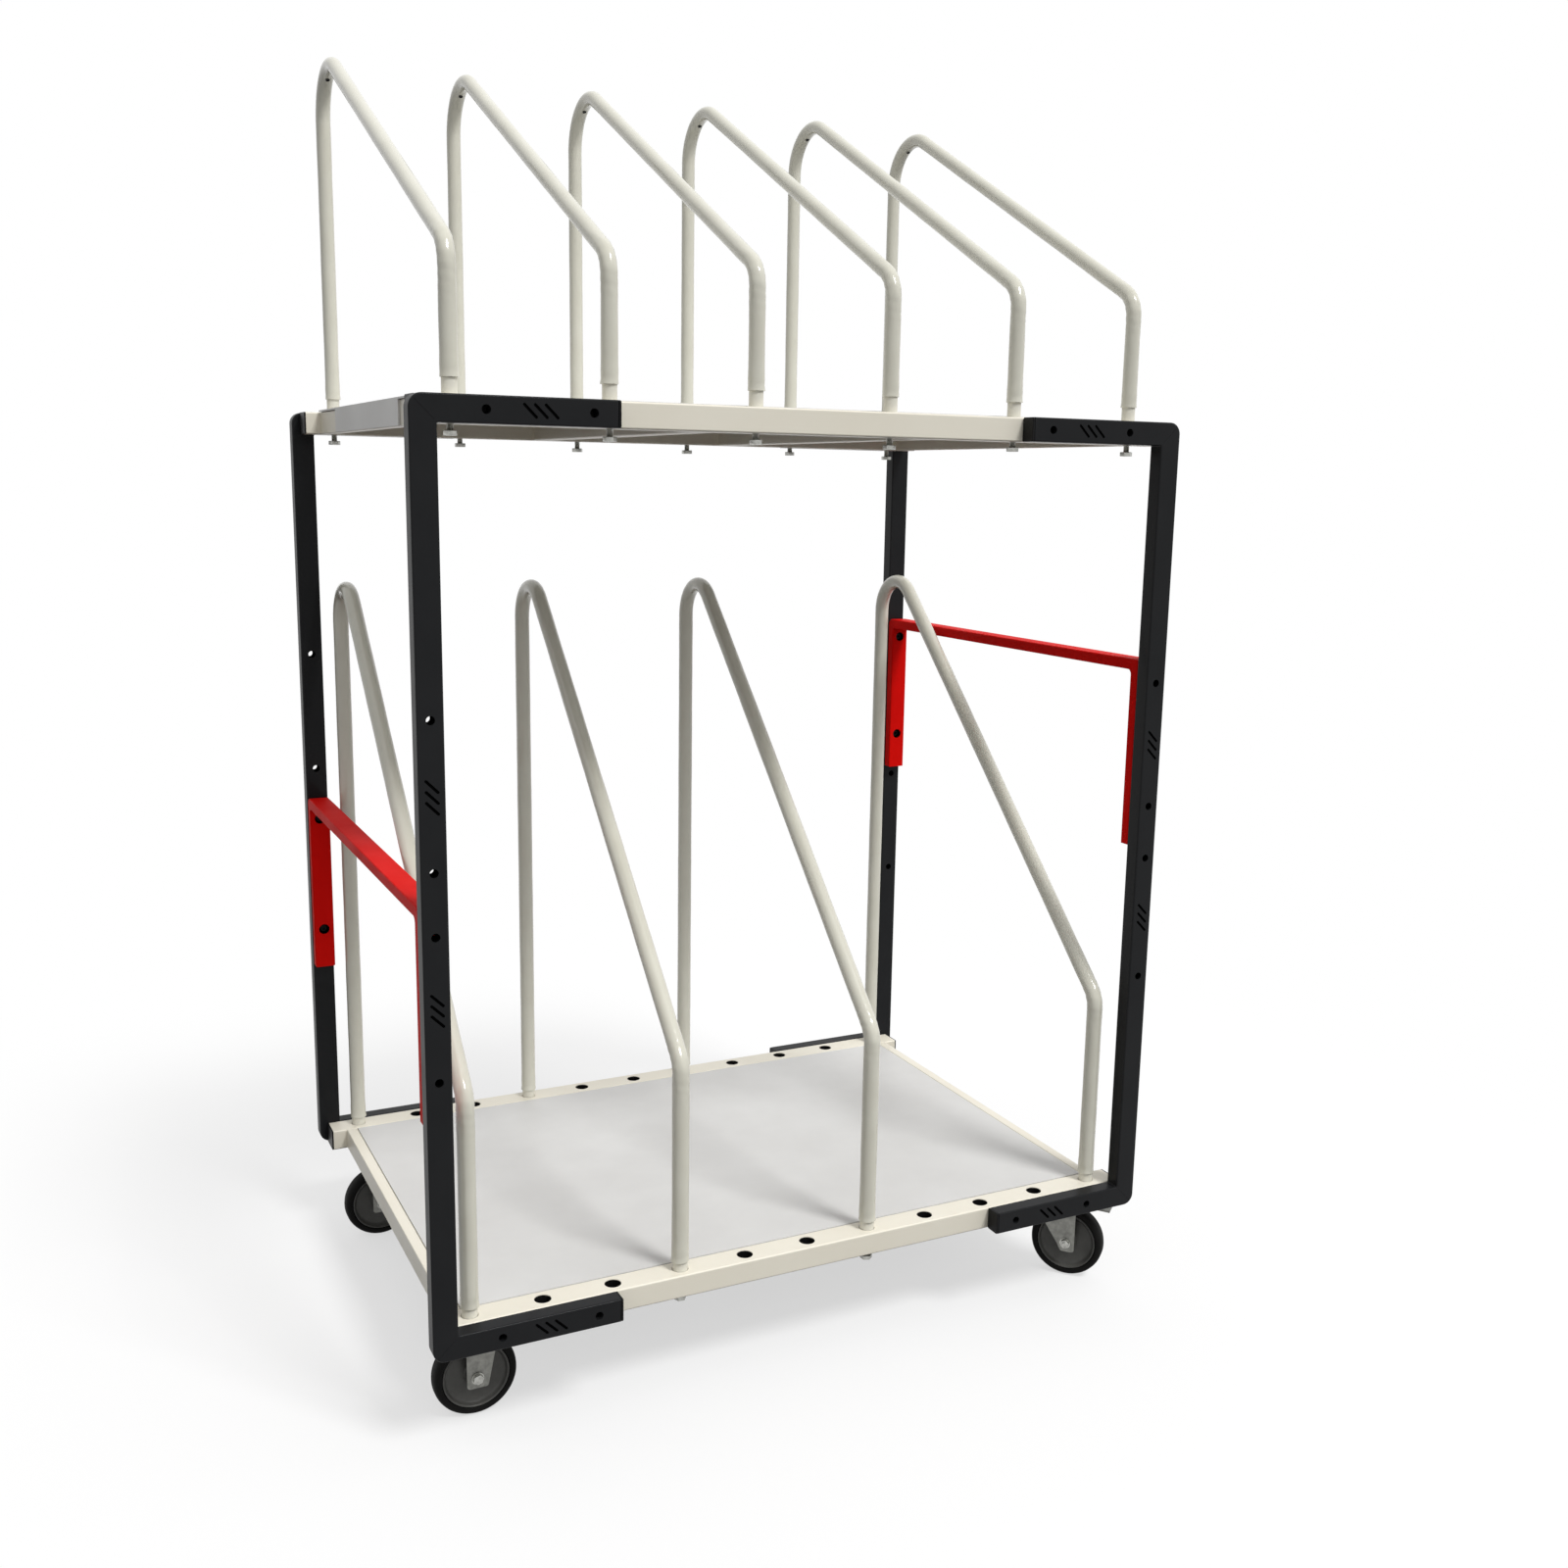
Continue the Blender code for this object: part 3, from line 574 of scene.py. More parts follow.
def side_frame(origin: Sequence[float]) -> Matrix:
    """Return the frame of an outline that stands in the plane of the trolley's end."""
    return axes_frame((0, 1, 0), (0, 0, 1), (1, 0, 0), origin)


def flat_frame(origin: Sequence[float]) -> Matrix:
    """Return the frame of an outline that lies flat."""
    return axes_frame((1, 0, 0), (0, 1, 0), (0, 0, 1), origin)


def polygon(sides: int, radius: float, start: float = 0.0) -> Array:
    """Return a regular polygon with a corner at the start angle."""
    angle = start + np.arange(sides) * 2 * math.pi / sides
    return radius * np.stack([np.cos(angle), np.sin(angle)], axis=-1)


def rectangle(width: float, height: float, radius: float) -> Array:
    """Return a rectangle with round corners, centred on the origin."""
    x, y = width / 2, height / 2
    return round_corners([(-x, -y, radius), (x, -y, radius), (x, y, radius), (-x, y, radius)])


def leaning_bar(length: float, width: float, roundness: float, lean: float) -> Array:
    """Return a round-ended bar about the origin, turned by an angle.

    Args:
        length: Length of the bar.
        width: Width of the bar.
        roundness: Radius of its corners, as a share of the width.
        lean: Angle from the first axis.

    Returns:
        Points of its outline.
    """
    turn = np.array([[math.cos(lean), math.sin(lean)], [-math.sin(lean), math.cos(lean)]])
    return rectangle(length, width, width * roundness) @ turn


def hex_nut(radius: float, thick: float, rim: float, frame: Matrix, start: float) -> Solid:
    """Return a hexagon with soft rims, with a corner at the start angle."""
    return soft_prism(polygon(6, radius, start), thick, rim, frame, 3)


def ring_profile(inner: float, outer: float, first: float, last: float) -> Profile:
    """Return the square section of a ring between two radii and two heights."""
    return [(inner, first), (outer, first), (outer, last), (inner, last)]


def screw_profile(head: float, base: float, chamfer: float, top: float, socket: float, floor: float
                  ) -> Profile:
    """Return the half section of a socket screw's head, with a chamfered foot and brim and a deep socket.

    Args:
        head: Radius of the head.
        base: Height of its foot.
        chamfer: Height of the chamfer at its foot.
        top: Height of its brim.
        socket: Radius of the socket.
        floor: Height of the socket's floor.

    Returns:
        Radii and heights.
    """
    foot_cut, brim_cut, brim_height, draft = 0.0004, 0.0006, 0.0007, 0.0001
    return [(AXIS, base), (head - foot_cut, base), (head, base + chamfer), (head, top - brim_height),
            (head - brim_cut, top), (socket, top), (socket - draft, floor), (AXIS, floor)]


class Workshop:
    """Turns points and faces into pieces that ride on the frame."""

    def __init__(self, book: FinishBook) -> None:
        """Keep the finishes and make a collection for the new pieces.

        Args:
            book: The finishes.
        """
        self.book = book
        self.collection = bpy.data.collections.new("trolley_pieces")
        bpy.context.scene.collection.children.link(self.collection)

    def carve(self, body: Solid, cutters: Iterable[Solid]) -> bpy.types.Mesh:
        """Return a body with cutters taken out of it.

        Args:
            body: The solid that is cut.
            cutters: The solids that are taken out.

        Returns:
            The mesh that is left.
        """
        block, tool = (bpy.data.objects.new(name, make_mesh(name, solids))
                       for name, solids in (("cut_body", [body]), ("cut_tool", cutters)))
        self.collection.objects.link(block)
        self.collection.objects.link(tool)
        boolean = block.modifiers.new("cut", "BOOLEAN")
        boolean.operation = "DIFFERENCE"
        boolean.object = tool
        graph = bpy.context.evaluated_depsgraph_get()
        result = bpy.data.meshes.new_from_object(block.evaluated_get(graph))
        bpy.data.objects.remove(block, do_unlink=True)
        bpy.data.objects.remove(tool, do_unlink=True)
        return result

    def piece(self, name: str, mesh: bpy.types.Mesh, finish: Finish, body: str = "chassis",
              replaces: Sequence[str] = (), edge: Edge = Edge.SMALL) -> None:
        """Add a finished piece.

        Args:
            name: The piece's name.
            mesh: Its mesh, in the trolley's frame.
            finish: Its finish, whose material it takes; the record's slot that the finish names is not given
                to it.
            body: The CAD body that it moves with.
            replaces: CAD nodes that it stands for.
            edge: Which edges stay sharp.
        """
        mesh.name = name
        mesh.materials.clear()
        mesh.materials.append(self.book.material(finish))
        mesh.shade_smooth()
        mesh.set_sharp_from_angle(angle=math.radians(edge.value))
        obj = bpy.data.objects.new(name, mesh)
        self.collection.objects.link(obj)
        weighted = obj.modifiers.new("even_normals", "WEIGHTED_NORMAL")
        weighted.keep_sharp = True
        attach(obj, body)
        if replaces:
            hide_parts(*replaces)
        LOG.info("%s: %d faces", name, len(mesh.polygons))

    def dress(self, node: bpy.types.Object, finish: Finish) -> None:
        """Give a CAD node that stays in view its finish.

        Args:
            node: The node's object.
            finish: Its finish.
        """
        node.data.materials.clear()
        node.data.materials.append(self.book.material(finish))
        LOG.info("%s keeps its CAD shape", node.name)


@dataclass(frozen=True)
class Post:
    """Where one upright stands, as its CAD node's box gives it, with the ways out along X and Y."""

    node: str
    out_x: int
    out_y: int
    outer: float
    middle: float
    bottom: float
    length: float
    depth: float
    height: float

    @classmethod
    def of(cls, side: Side, hand: Hand) -> "Post":
        """Return the place of the upright at one corner of the trolley.

        Args:
            side: Front or rear.
            hand: Left or right.

        Returns:
            The post.
        """
        node = f"{side.value}_{hand.value}_upright"
        low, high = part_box(node)
        outer = low.x if hand is Hand.LEFT else high.x
        return cls(node, hand.outward, side.outward, outer, (low.y + high.y) / 2, low.z,
                   high.x - low.x, high.y - low.y, high.z - low.z)

    def inward(self, distance: float | Array) -> float | Array:
        """Return the X that lies this far in from the post's outer edge."""
        return self.outer - self.out_x * distance


@dataclass
class Uprights:
    """The four C-shaped uprights with their slits, holes, plugs and recessed screws."""

    shop: Workshop
    width: float = 0.040
    edge: float = 0.0028
    corner: float = 0.020
    inner_corner: float = 0.0025
    hole: float = 0.0136
    hole_offset: float = 0.110
    hole_pitch: float = 0.160
    hole_sides: int = 28
    handle_gap: float = 0.097
    overshoot: float = 0.010
    slit_count: int = 3
    slit_lean: float = math.radians(45)
    slit_length: float = 0.029
    slit_width: float = 0.0044
    slit_roundness: float = 0.499
    slit_pitch: float = 0.016
    slit_depth: float = 0.004
    slit_above: float = 0.004
    slit_floor: float = 0.0012
    painted_shade_wall: float = 0.0005
    painted_shade_wall_fit: float = 0.0002
    plug: float = 0.0040
    plug_corner: float = 0.0035
    plug_rim: float = 0.0016
    seam: float = 0.0007
    seam_roundness: float = 0.49
    seam_depth: float = 0.0008
    seam_margin: float = 0.004
    screw_depth: float = 0.010

    def build(self) -> None:
        """Build the uprights and what sits in their arms."""
        for side in Side:
            for hand in Hand:
                self.build_one(Post.of(side, hand))

    def build_one(self, post: Post) -> None:
        """Build one upright: an outline with a rounded rim, less its holes, slits and weld seams.

        Args:
            post: Where it stands.
        """
        width, length, height, inner = self.width, post.length, post.height, self.inner_corner
        corners = [(0, 0, self.corner), (length, 0, 0), (length, width, 0), (width, width, inner),
                   (width, height - width, inner), (length, height - width, 0), (length, height, 0),
                   (0, height, self.corner)]
        outline = round_corners(corners, steps=8)
        outline = np.stack([post.inward(outline[:, 0]), post.bottom + outline[:, 1]], axis=-1)
        body = soft_prism(outline, post.depth, self.edge, front_frame((0, post.middle, 0)))
        cutters = [*self.hole_cutters(post), *self.slit_bars(post, self.slit_width, self.slit_above),
                   *self.seam_cutters(post)]
        self.shop.piece(post.node + "_tube", self.shop.carve(body, cutters), ANTHRACITE,
                        replaces=[post.node], edge=Edge.TUBE)
        self.build_plugs(post)
        self.build_screws(post)
        self.build_painted_shade(post)

    def arm_levels(self, post: Post) -> tuple[float, float]:
        """Return the heights of the middles of a post's two arms."""
        return post.bottom + self.width / 2, post.bottom + post.height - self.width / 2

    def arm_places(self, post: Post) -> list[tuple[float, float]]:
        """Return the X and Z of the holes in a post's two arms."""
        return [(post.inward(offset), level) for level in self.arm_levels(post)
                for offset in (self.hole_offset, self.hole_offset + self.hole_pitch)]

    def hole_levels(self, post: Post) -> list[float]:
        """Return the heights of the handle holes: two pairs, as far above as below the post's middle.

        Args:
            post: Where the upright stands.

        Returns:
            Heights from low to high.
        """
        middle, half = post.bottom + post.height / 2, self.handle_gap / 2
        low, high = middle - half, middle + half
        return [low - HANDLE_PITCH, low, high, high + HANDLE_PITCH]

    def hole_cutters(self, post: Post) -> list[Solid]:
        """Return round cutters for the arm and post holes, along Y.

        Args:
            post: Where the upright stands.

        Returns:
            The cutters.
        """
        places = self.arm_places(post)
        places += [(post.inward(self.width / 2), level) for level in self.hole_levels(post)]
        outline, depth = polygon(self.hole_sides, self.hole / 2), post.depth + 2 * self.overshoot
        return [cutter(outline, depth, front_frame((x, post.middle, z))) for x, z in places]

    def slit_bars(self, post: Post, width: float, top: float) -> list[Solid]:
        """Return round-ended bars in the slanted slits, in groups on the arms and between the post's holes.

        Args:
            post: Where the upright stands.
            width: Width of a bar.
            top: Height above the outer face at which the bars end; they start at the slits' depth.

        Returns:
            The bars.
        """
        bar = leaning_bar(self.slit_length, width, self.slit_roundness, post.out_y * self.slit_lean)
        steps = (np.arange(self.slit_count) - (self.slit_count - 1) / 2) * self.slit_pitch
        group = post.inward(self.hole_offset + self.hole_pitch / 2)
        levels = self.hole_levels(post)
        places = [(group + step, level) for step in steps for level in self.arm_levels(post)]
        places += [(post.inward(self.width / 2), (first + second) / 2 + step) for step in steps
                   for first, second in (levels[:2], levels[2:])]
        face = post.middle + post.out_y * post.depth / 2
        centre = face + post.out_y * (top - self.slit_depth) / 2
        frame = front_frame((0, centre, 0))
        return [cutter(bar + np.array(place), self.slit_depth + top, frame) for place in places]

    def seam_cutters(self, post: Post) -> list[Solid]:
        """Return thin cutters along the mitres, where the post is welded to its arms.

        Args:
            post: Where the upright stands.

        Returns:
            A bar on both faces of both mitres.
        """
        reach = self.width * math.sqrt(2) - self.corner * (math.sqrt(2) - 1) - self.seam_margin
        cutters = []
        for level, rise in ((post.bottom, 1), (post.bottom + post.height, -1)):
            centre = np.array([post.inward(self.width / 2), level + rise * self.width / 2])
            lean = math.atan2(rise, -post.out_x)
            bar = leaning_bar(reach, self.seam, self.seam_roundness, lean) + centre
            for face in (post.middle - post.depth / 2, post.middle + post.depth / 2):
                cutters.append(cutter(bar, self.seam_depth, front_frame((0, face, 0))))
        return cutters

    def build_plugs(self, post: Post) -> None:
        """Build the black plugs in the two arm ends, each a cap with a soft rim.

        Args:
            post: Where the upright stands.
        """
        outline = rectangle(post.depth, self.width, self.plug_corner)
        x = post.inward(post.length) - post.out_x * self.plug / 2
        solids = [soft_prism(outline, self.plug, self.plug_rim, side_frame((x, post.middle, level)))
                  for level in self.arm_levels(post)]
        self.shop.piece(post.node + "_plugs", make_mesh("plugs", solids), PLASTIC)

    def build_screws(self, post: Post) -> None:
        """Build the socket screws that sit deep in the arm holes and hold the rails.

        Args:
            post: Where the upright stands.
        """
        profile = screw_profile(head=0.0056, base=0.0, chamfer=0.0006, top=0.0052, socket=0.0030,
                                floor=0.0024)
        seat = post.middle - post.out_y * self.screw_depth
        solids = [turned_solid(profile, front_frame((x, seat, level), post.out_y), SCREW_SIDES)
                  for x, level in self.arm_places(post)]
        self.shop.piece(post.node + "_screws", make_mesh("screws", solids), SCREW)

    def build_painted_shade(self, post: Post) -> None:
        """Build painted shade in holes and slits: near-black rings behind the tube's walls, and slit floors.

        Args:
            post: Where the upright stands.
        """
        radius, half = self.hole / 2 - self.painted_shade_wall_fit, post.depth / 2 - TUBE_WALL
        profile = ring_profile(radius - self.painted_shade_wall, radius, half, -half)
        x = post.inward(self.width / 2)
        solids = [turned_solid(profile, front_frame((x, post.middle, level)), self.hole_sides, True)
                  for level in self.hole_levels(post)]
        solids += self.slit_bars(post, self.slit_width - self.painted_shade_wall_fit, -self.slit_floor)
        # Near-black rings and floors: painted shade inside the tube
        self.shop.piece(post.node + "_hollows", make_mesh("painted_shade", solids), PAINTED_SHADE)


@dataclass
class ShelfFrames:
    """Rails with their sockets, side rails, cross members and panels of both shelves."""

    shop: Workshop
    edge: float = 0.0030
    bar_edge: float = 0.002
    end_rim: float = 0.0003
    sockets: int = 11
    socket_sides: int = 36
    pitch: float = 0.1205
    socket_floor: float = 0.004
    overshoot: float = 0.010
    lower_socket: float = 0.0282
    upper_socket: float = 0.0252
    liner_fit: float = 0.0002
    liner_wall: float = 0.0012
    liner_lip: float = 0.0008
    cap: float = 0.003
    cap_rim: float = 0.0012

    def build(self, nodes: dict[str, bpy.types.Object]) -> None:
        """Build both shelves around their CAD nodes.

        Args:
            nodes: The objects of the CAD nodes, by name.
        """
        for level in Level:
            for side in Side:
                self.build_rail(level, f"{level.value}_{side.value}_rail")
            for hand in Hand:
                self.build_bar(f"{level.value}_{hand.value}_side_rail")
                self.build_bar(f"{level.value}_{hand.value}_cross_member")
            self.shop.dress(nodes[f"{level.value}_panel"], SHEET)

    def socket_x(self, number: int) -> float:
        """Return the X of a socket, counted from 1 at the left."""
        return (number - (self.sockets + 1) / 2) * self.pitch

    def build_rail(self, level: Level, node: str) -> None:
        """Build a rail: a rounded section drawn along X, with its sockets, liners and end caps.

        Args:
            level: The shelf that it carries.
            node: The CAD node that it replaces.
        """
        low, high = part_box(node)
        middle = (low + high) / 2
        outline = rectangle(high.y - low.y, high.z - low.z, self.edge)
        body = soft_prism(outline, high.x - low.x, self.end_rim, side_frame(middle))
        floor, top = low.z + self.socket_floor, high.z + self.overshoot
        radius = (self.lower_socket if level is Level.LOWER else self.upper_socket) / 2
        disc = polygon(self.socket_sides, radius)
        places = {number: (self.socket_x(number), middle.y) for number in range(1, self.sockets + 1)}
        cutters = [cutter(disc, top - floor, flat_frame((*place, (top + floor) / 2)))
                   for place in places.values()]
        self.shop.piece(node + "_tube", self.shop.carve(body, cutters), CREAM, replaces=[node],
                        edge=Edge.TUBE)
        profile = self.liner_profile(radius, high.z - floor)
        liners = [turned_solid(profile, flat_frame((*place, floor)), self.socket_sides)
                  for number, place in places.items() if number not in SOCKETS_IN_USE[level]]
        self.shop.piece(node + "_liners", make_mesh("liners", liners), PLASTIC)
        caps = [soft_prism(outline, self.cap, self.cap_rim, side_frame((x, middle.y, middle.z)))
                for x in (low.x - self.cap / 2, high.x + self.cap / 2)]
        self.shop.piece(node + "_caps", make_mesh("caps", caps), PLASTIC)

    def liner_profile(self, radius: float, depth: float) -> Profile:
        """Return the half section of a free socket's liner: a thin cup that ends just under the rail's face.

        Args:
            radius: Radius of the socket.
            depth: Depth of the socket.

        Returns:
            Radii and heights from the socket's floor.
        """
        fit, lip, outer = self.liner_fit, self.liner_lip, radius - self.liner_fit
        inner = outer - self.liner_wall
        return [(AXIS, fit), (outer, fit), (outer, depth - 1.5 * lip), (outer - lip, depth - lip),
                (inner, depth - 2 * lip), (inner, 2 * lip), (AXIS, 2 * lip)]

    def build_bar(self, node: str) -> None:
        """Build a square bar between the rails: a rounded section drawn along Y.

        Args:
            node: The CAD node that it replaces.
        """
        low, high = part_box(node)
        outline = rectangle(high.x - low.x, high.z - low.z, self.bar_edge)
        solid = soft_prism(outline, high.y - low.y, self.end_rim, front_frame((low + high) / 2))
        self.shop.piece(node + "_bar", make_mesh(node, [solid]), CREAM, replaces=[node], edge=Edge.TUBE)


@dataclass(frozen=True)
class HoopShape:
    """The centre line of one shelf's hoops, in the trolley's frame."""

    level: Level
    rail_bottom: float
    front_corner: float
    rear_corner: float
    apex_bend: float
    sleeve_lift: float


@dataclass
class Hoops:
    """The divider hoops: steel tube, glossy sleeve with wrinkles in its bends, and foot bolts."""

    shop: Workshop
    foot_y: float = 0.4197
    front_bend: float = 0.050
    lower_corners: tuple[float, float] = (0.406, 1.228)
    upper_corners: tuple[float, float] = (1.669, 2.110)
    bend_steps: int = 40
    bend_fade: float = 0.040
    apex_share: float = 0.12
    sleeve_wall: float = 0.0012
    fit: float = 0.0003
    spacing: float = 0.0040
    sides: int = 36
    tube_sides: int = 28
    rail_height: float = 0.040
    shift: float = 1.7
    wave: float = 0.00010
    wave_rate: float = 23.0
    twist: float = 0.00008
    twist_rate: float = 61.0
    crease: float = 0.00062
    crease_length: float = 0.019
    crease_floor: float = -0.4
    wander: float = 0.9
    wander_rate: float = 47.0
    dimple: float = 0.00034
    dimple_lengths: tuple[float, float] = (0.026, 0.041)
    flare: float = 0.0010
    flare_length: float = 0.005
    flare_lean: float = 0.5
    flare_turn: float = 2.1
    collar: float = 0.0004
    collar_place: float = 0.018
    collar_length: float = 0.010
    bolt_head: float = 0.0108
    bolt_head_height: float = 0.0074
    bolt_head_rim: float = 0.0010
    bolt_head_turn: float = 0.35
    bolt_turn_step: float = 1.3
    bolt_hangs: tuple[float, float] = (0.0150, 0.0165)
    bolt_hang_steps: tuple[float, float] = (0.0012, 0.0020)
    bolt_shank: float = 0.0050
    shank_top: float = 0.0030
    shank_end: float = 0.0060
    thread_radii: tuple[float, float] = (0.0052, 0.0046)
    thread_pitch: float = 0.0015
    thread_lag: float = 0.0007
    thread_start: float = 0.0006
    thread_end: float = 0.0072
    vent_lift: float = math.radians(68)

    def shapes(self) -> list[HoopShape]:
        """Return the two shapes of hoop, whose corners stand at heights above the lower rails.

        Returns:
            The lower and the upper shape.
        """
        base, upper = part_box("lower_front_rail")[0].z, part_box("upper_front_rail")[0].z
        lower_front, lower_rear = self.lower_corners
        upper_front, upper_rear = self.upper_corners
        return [HoopShape(Level.LOWER, base, base + lower_front, base + lower_rear,
                          apex_bend=0.068, sleeve_lift=0.016),
                HoopShape(Level.UPPER, upper, base + upper_front, base + upper_rear,
                          apex_bend=0.082, sleeve_lift=0.025)]

    def build(self) -> None:
        """Build every hoop."""
        for shape in self.shapes():
            for order, number in enumerate(SOCKETS_IN_USE[shape.level]):
                self.build_one(shape, number, order)

    def centre_line(self, shape: HoopShape, start: float) -> tuple[Array, Array]:
        """Return points along a hoop from front foot to rear foot, evenly spaced, and the bend at each.

        The line runs up the front leg, round the front bend, up the slope, round the apex and down the rear
        leg.

        Args:
            shape: The hoop's shape.
            start: Height at which both ends start.

        Returns:
            Points as (y, z), and a bend value that is 1 in the front bend, less in the apex, and falls to 0
            along the straights.
        """
        legs = [(-self.foot_y, start, 0.0), (-self.foot_y, shape.front_corner, self.front_bend),
                (self.foot_y, shape.rear_corner, shape.apex_bend), (self.foot_y, start, 0.0)]
        rough = round_corners(legs, self.bend_steps)
        length = self.length_along(rough)
        even = np.linspace(0, length[-1], int(length[-1] / self.spacing) + 1)
        line = np.stack([np.interp(even, length, rough[:, axis]) for axis in (0, 1)], axis=-1)
        front_end, apex_start = 1 + self.bend_steps, 2 + self.bend_steps
        bends = ((1, front_end, 1.0), (apex_start, apex_start + self.bend_steps, self.apex_share))
        bend = np.zeros(len(even))
        for first, last, share in bends:
            outside = np.maximum(np.maximum(length[first] - even, even - length[last]), 0)
            bend = np.maximum(bend, share * np.exp(-(outside / self.bend_fade) ** 2))
        return line, bend

    @staticmethod
    def length_along(line: Array) -> Array:
        """Return the length along a line at each of its points."""
        return np.concatenate([[0], np.cumsum(np.linalg.norm(np.diff(line, axis=0), axis=1))])

    @staticmethod
    def sweep(line: Array, x: float, radius: Array) -> Array:
        """Return rings about a flat line: radius times (cos a across the line + sin a along X).

        Args:
            line: Points as (y, z).
            x: The plane of the line.
            radius: A radius for each point and side.

        Returns:
            Rings of points.
        """
        along = np.gradient(line, axis=0)
        along = along / np.linalg.norm(along, axis=1, keepdims=True)
        across = np.stack([-along[:, 1], along[:, 0]], axis=-1)
        sides = radius.shape[1]
        angle = np.arange(sides) * 2 * math.pi / sides
        flat = line[:, None, :] + (radius * np.cos(angle))[:, :, None] * across[:, None, :]
        out = x + radius * np.sin(angle)
        return np.concatenate([out[:, :, None], flat], axis=-1)

    def sleeve_radius(self, line: Array, bend: Array, radius: float, order: int) -> Array:
        """Return the sleeve's outer radius for each point and side.

        It is the nominal radius, plus slow waves along the length, plus creases on the inner side of each
        bend that follow the sine of the length, plus dimples in the bends, plus a flare and a low collar at
        the two cut ends. The rates of the waves are radians for each metre of length.

        Args:
            line: Points along the hoop.
            bend: How far each point is in a bend.
            radius: The nominal radius.
            order: Number of the hoop, which shifts the creases.

        Returns:
            Radii by point and side.
        """
        s = self.length_along(line)[:, None]
        angle = (np.arange(self.sides) * 2 * math.pi / self.sides)[None, :]
        shift = self.shift * order
        slow = self.wave * np.sin(s * self.wave_rate + shift)
        slow = slow + self.twist * np.sin(s * self.twist_rate + 2 * angle + shift)
        inner = np.clip(-np.cos(angle), 0, 1) ** 2
        wander = self.wander * np.sin(s * self.wander_rate + shift)
        crease = np.sin(s * 2 * math.pi / self.crease_length + wander + shift)
        crease = self.crease * np.clip(crease, self.crease_floor, 1) * bend[:, None] ** 2 * inner
        first, second = self.dimple_lengths
        ripple = np.sin(s * 2 * math.pi / first + 3 * angle + shift)
        dimple = self.dimple * ripple * np.sin(s * 2 * math.pi / second - 2 * angle) * bend[:, None]
        distance = np.minimum(s, s[-1] - s)
        flare = self.flare * np.exp(-(distance / self.flare_length) ** 2)
        flare = flare * (1 + self.flare_lean * np.sin(angle + self.flare_turn * shift))
        collar = self.collar * np.exp(-((distance - self.collar_place) / self.collar_length) ** 2)
        return radius + slow + crease + dimple + flare + collar

    def build_one(self, shape: HoopShape, number: int, order: int) -> None:
        """Build one hoop: the sleeve as a closed skin, the tube inside it, the foot bolts and the vent.

        Args:
            shape: The hoop's shape.
            number: The socket that it stands in.
            order: Its number along the shelf.
        """
        name = f"{shape.level.value}_hoop_{number:02d}"
        low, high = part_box(name)
        x, radius = (low.x + high.x) / 2, (high.x - low.x) / 2
        line, bend = self.centre_line(shape, shape.rail_bottom + self.rail_height + shape.sleeve_lift)
        skin = self.sleeve_radius(line, bend, radius + self.fit + self.sleeve_wall, order)
        outer = self.sweep(line, x, skin)
        bore = self.sweep(line, x, np.full((len(line), self.sides), radius + self.fit))
        mesh = make_mesh(name, [solid_from_rings(np.concatenate([outer, bore[::-1]]), True)])
        self.shop.piece(name + "_skin", mesh, SLEEVE, replaces=[name + "_sleeve"], edge=Edge.SLEEVE)
        line = self.centre_line(shape, low.z)[0][::2]
        tube = self.sweep(line, x, np.full((len(line), self.tube_sides), radius))
        mesh = make_mesh(name, [solid_from_rings(tube, False)])
        self.shop.piece(name + "_steel", mesh, TUBE, replaces=[name], edge=Edge.STEEL)
        self.build_foot_bolts(shape, name, x, number)
        if shape.level is Level.UPPER:
            self.build_vent_shade(shape, name, x, radius + self.fit + self.sleeve_wall)

    def build_foot_bolts(self, shape: HoopShape, name: str, x: float, number: int) -> None:
        """Build the hex bolts that hold a hoop's feet from under the rail, each turned in differently.

        Args:
            shape: The hoop's shape.
            name: The hoop's CAD node.
            x: The plane of the hoop.
            number: The socket that it stands in, which sets how far each bolt hangs out.
        """
        solids = []
        crest, root = self.thread_radii
        front, rear = self.bolt_hangs
        front_step, rear_step = self.bolt_hang_steps
        feet = ((-self.foot_y, front + front_step * (number % 4)),
                (self.foot_y, rear + rear_step * (number % 3)))
        for y, hang in feet:
            seat = flat_frame((x, y, shape.rail_bottom))
            turns = np.arange(self.thread_start, hang - self.thread_end, self.thread_pitch)
            thread = [(radius, -(depth + lag)) for depth in turns
                      for radius, lag in ((crest, 0.0), (root, self.thread_lag))]
            top, end = self.shank_top, -hang + self.shank_end
            shank = [(AXIS, top), (self.bolt_shank, top), *thread, (self.bolt_shank, end), (AXIS, end)]
            solids.append(turned_solid(shank, seat, SCREW_SIDES))
            head = seat @ flat_frame((0, 0, -hang + self.bolt_head_height / 2))
            solids.append(hex_nut(self.bolt_head, self.bolt_head_height, self.bolt_head_rim, head,
                                  self.bolt_head_turn + self.bolt_turn_step * number + y))
        self.shop.piece(name + "_foot_bolts", make_mesh("bolts", solids), BRIGHT_ZINC)

    def build_vent_shade(self, shape: HoopShape, name: str, x: float, sleeve: float) -> None:
        """Build the vent under the apex: a small dished near-black disc on the sleeve, painted shade for the
        vent hole.

        Args:
            shape: The hoop's shape.
            name: The hoop's CAD node.
            x: The plane of the hoop.
            sleeve: Radius of the sleeve.
        """
        half = math.atan2(2 * self.foot_y, shape.rear_corner - shape.front_corner) / 2
        drop = shape.apex_bend / math.tan(half)
        centre = np.array([x, self.foot_y - shape.apex_bend, shape.rear_corner - drop])
        outward = np.array([0.0, -math.cos(self.vent_lift), -math.sin(self.vent_lift)])
        seat = centre - outward * (shape.apex_bend - sleeve)
        frame = axes_frame((1, 0, 0), np.cross(outward, [1.0, 0.0, 0.0]), outward, seat)
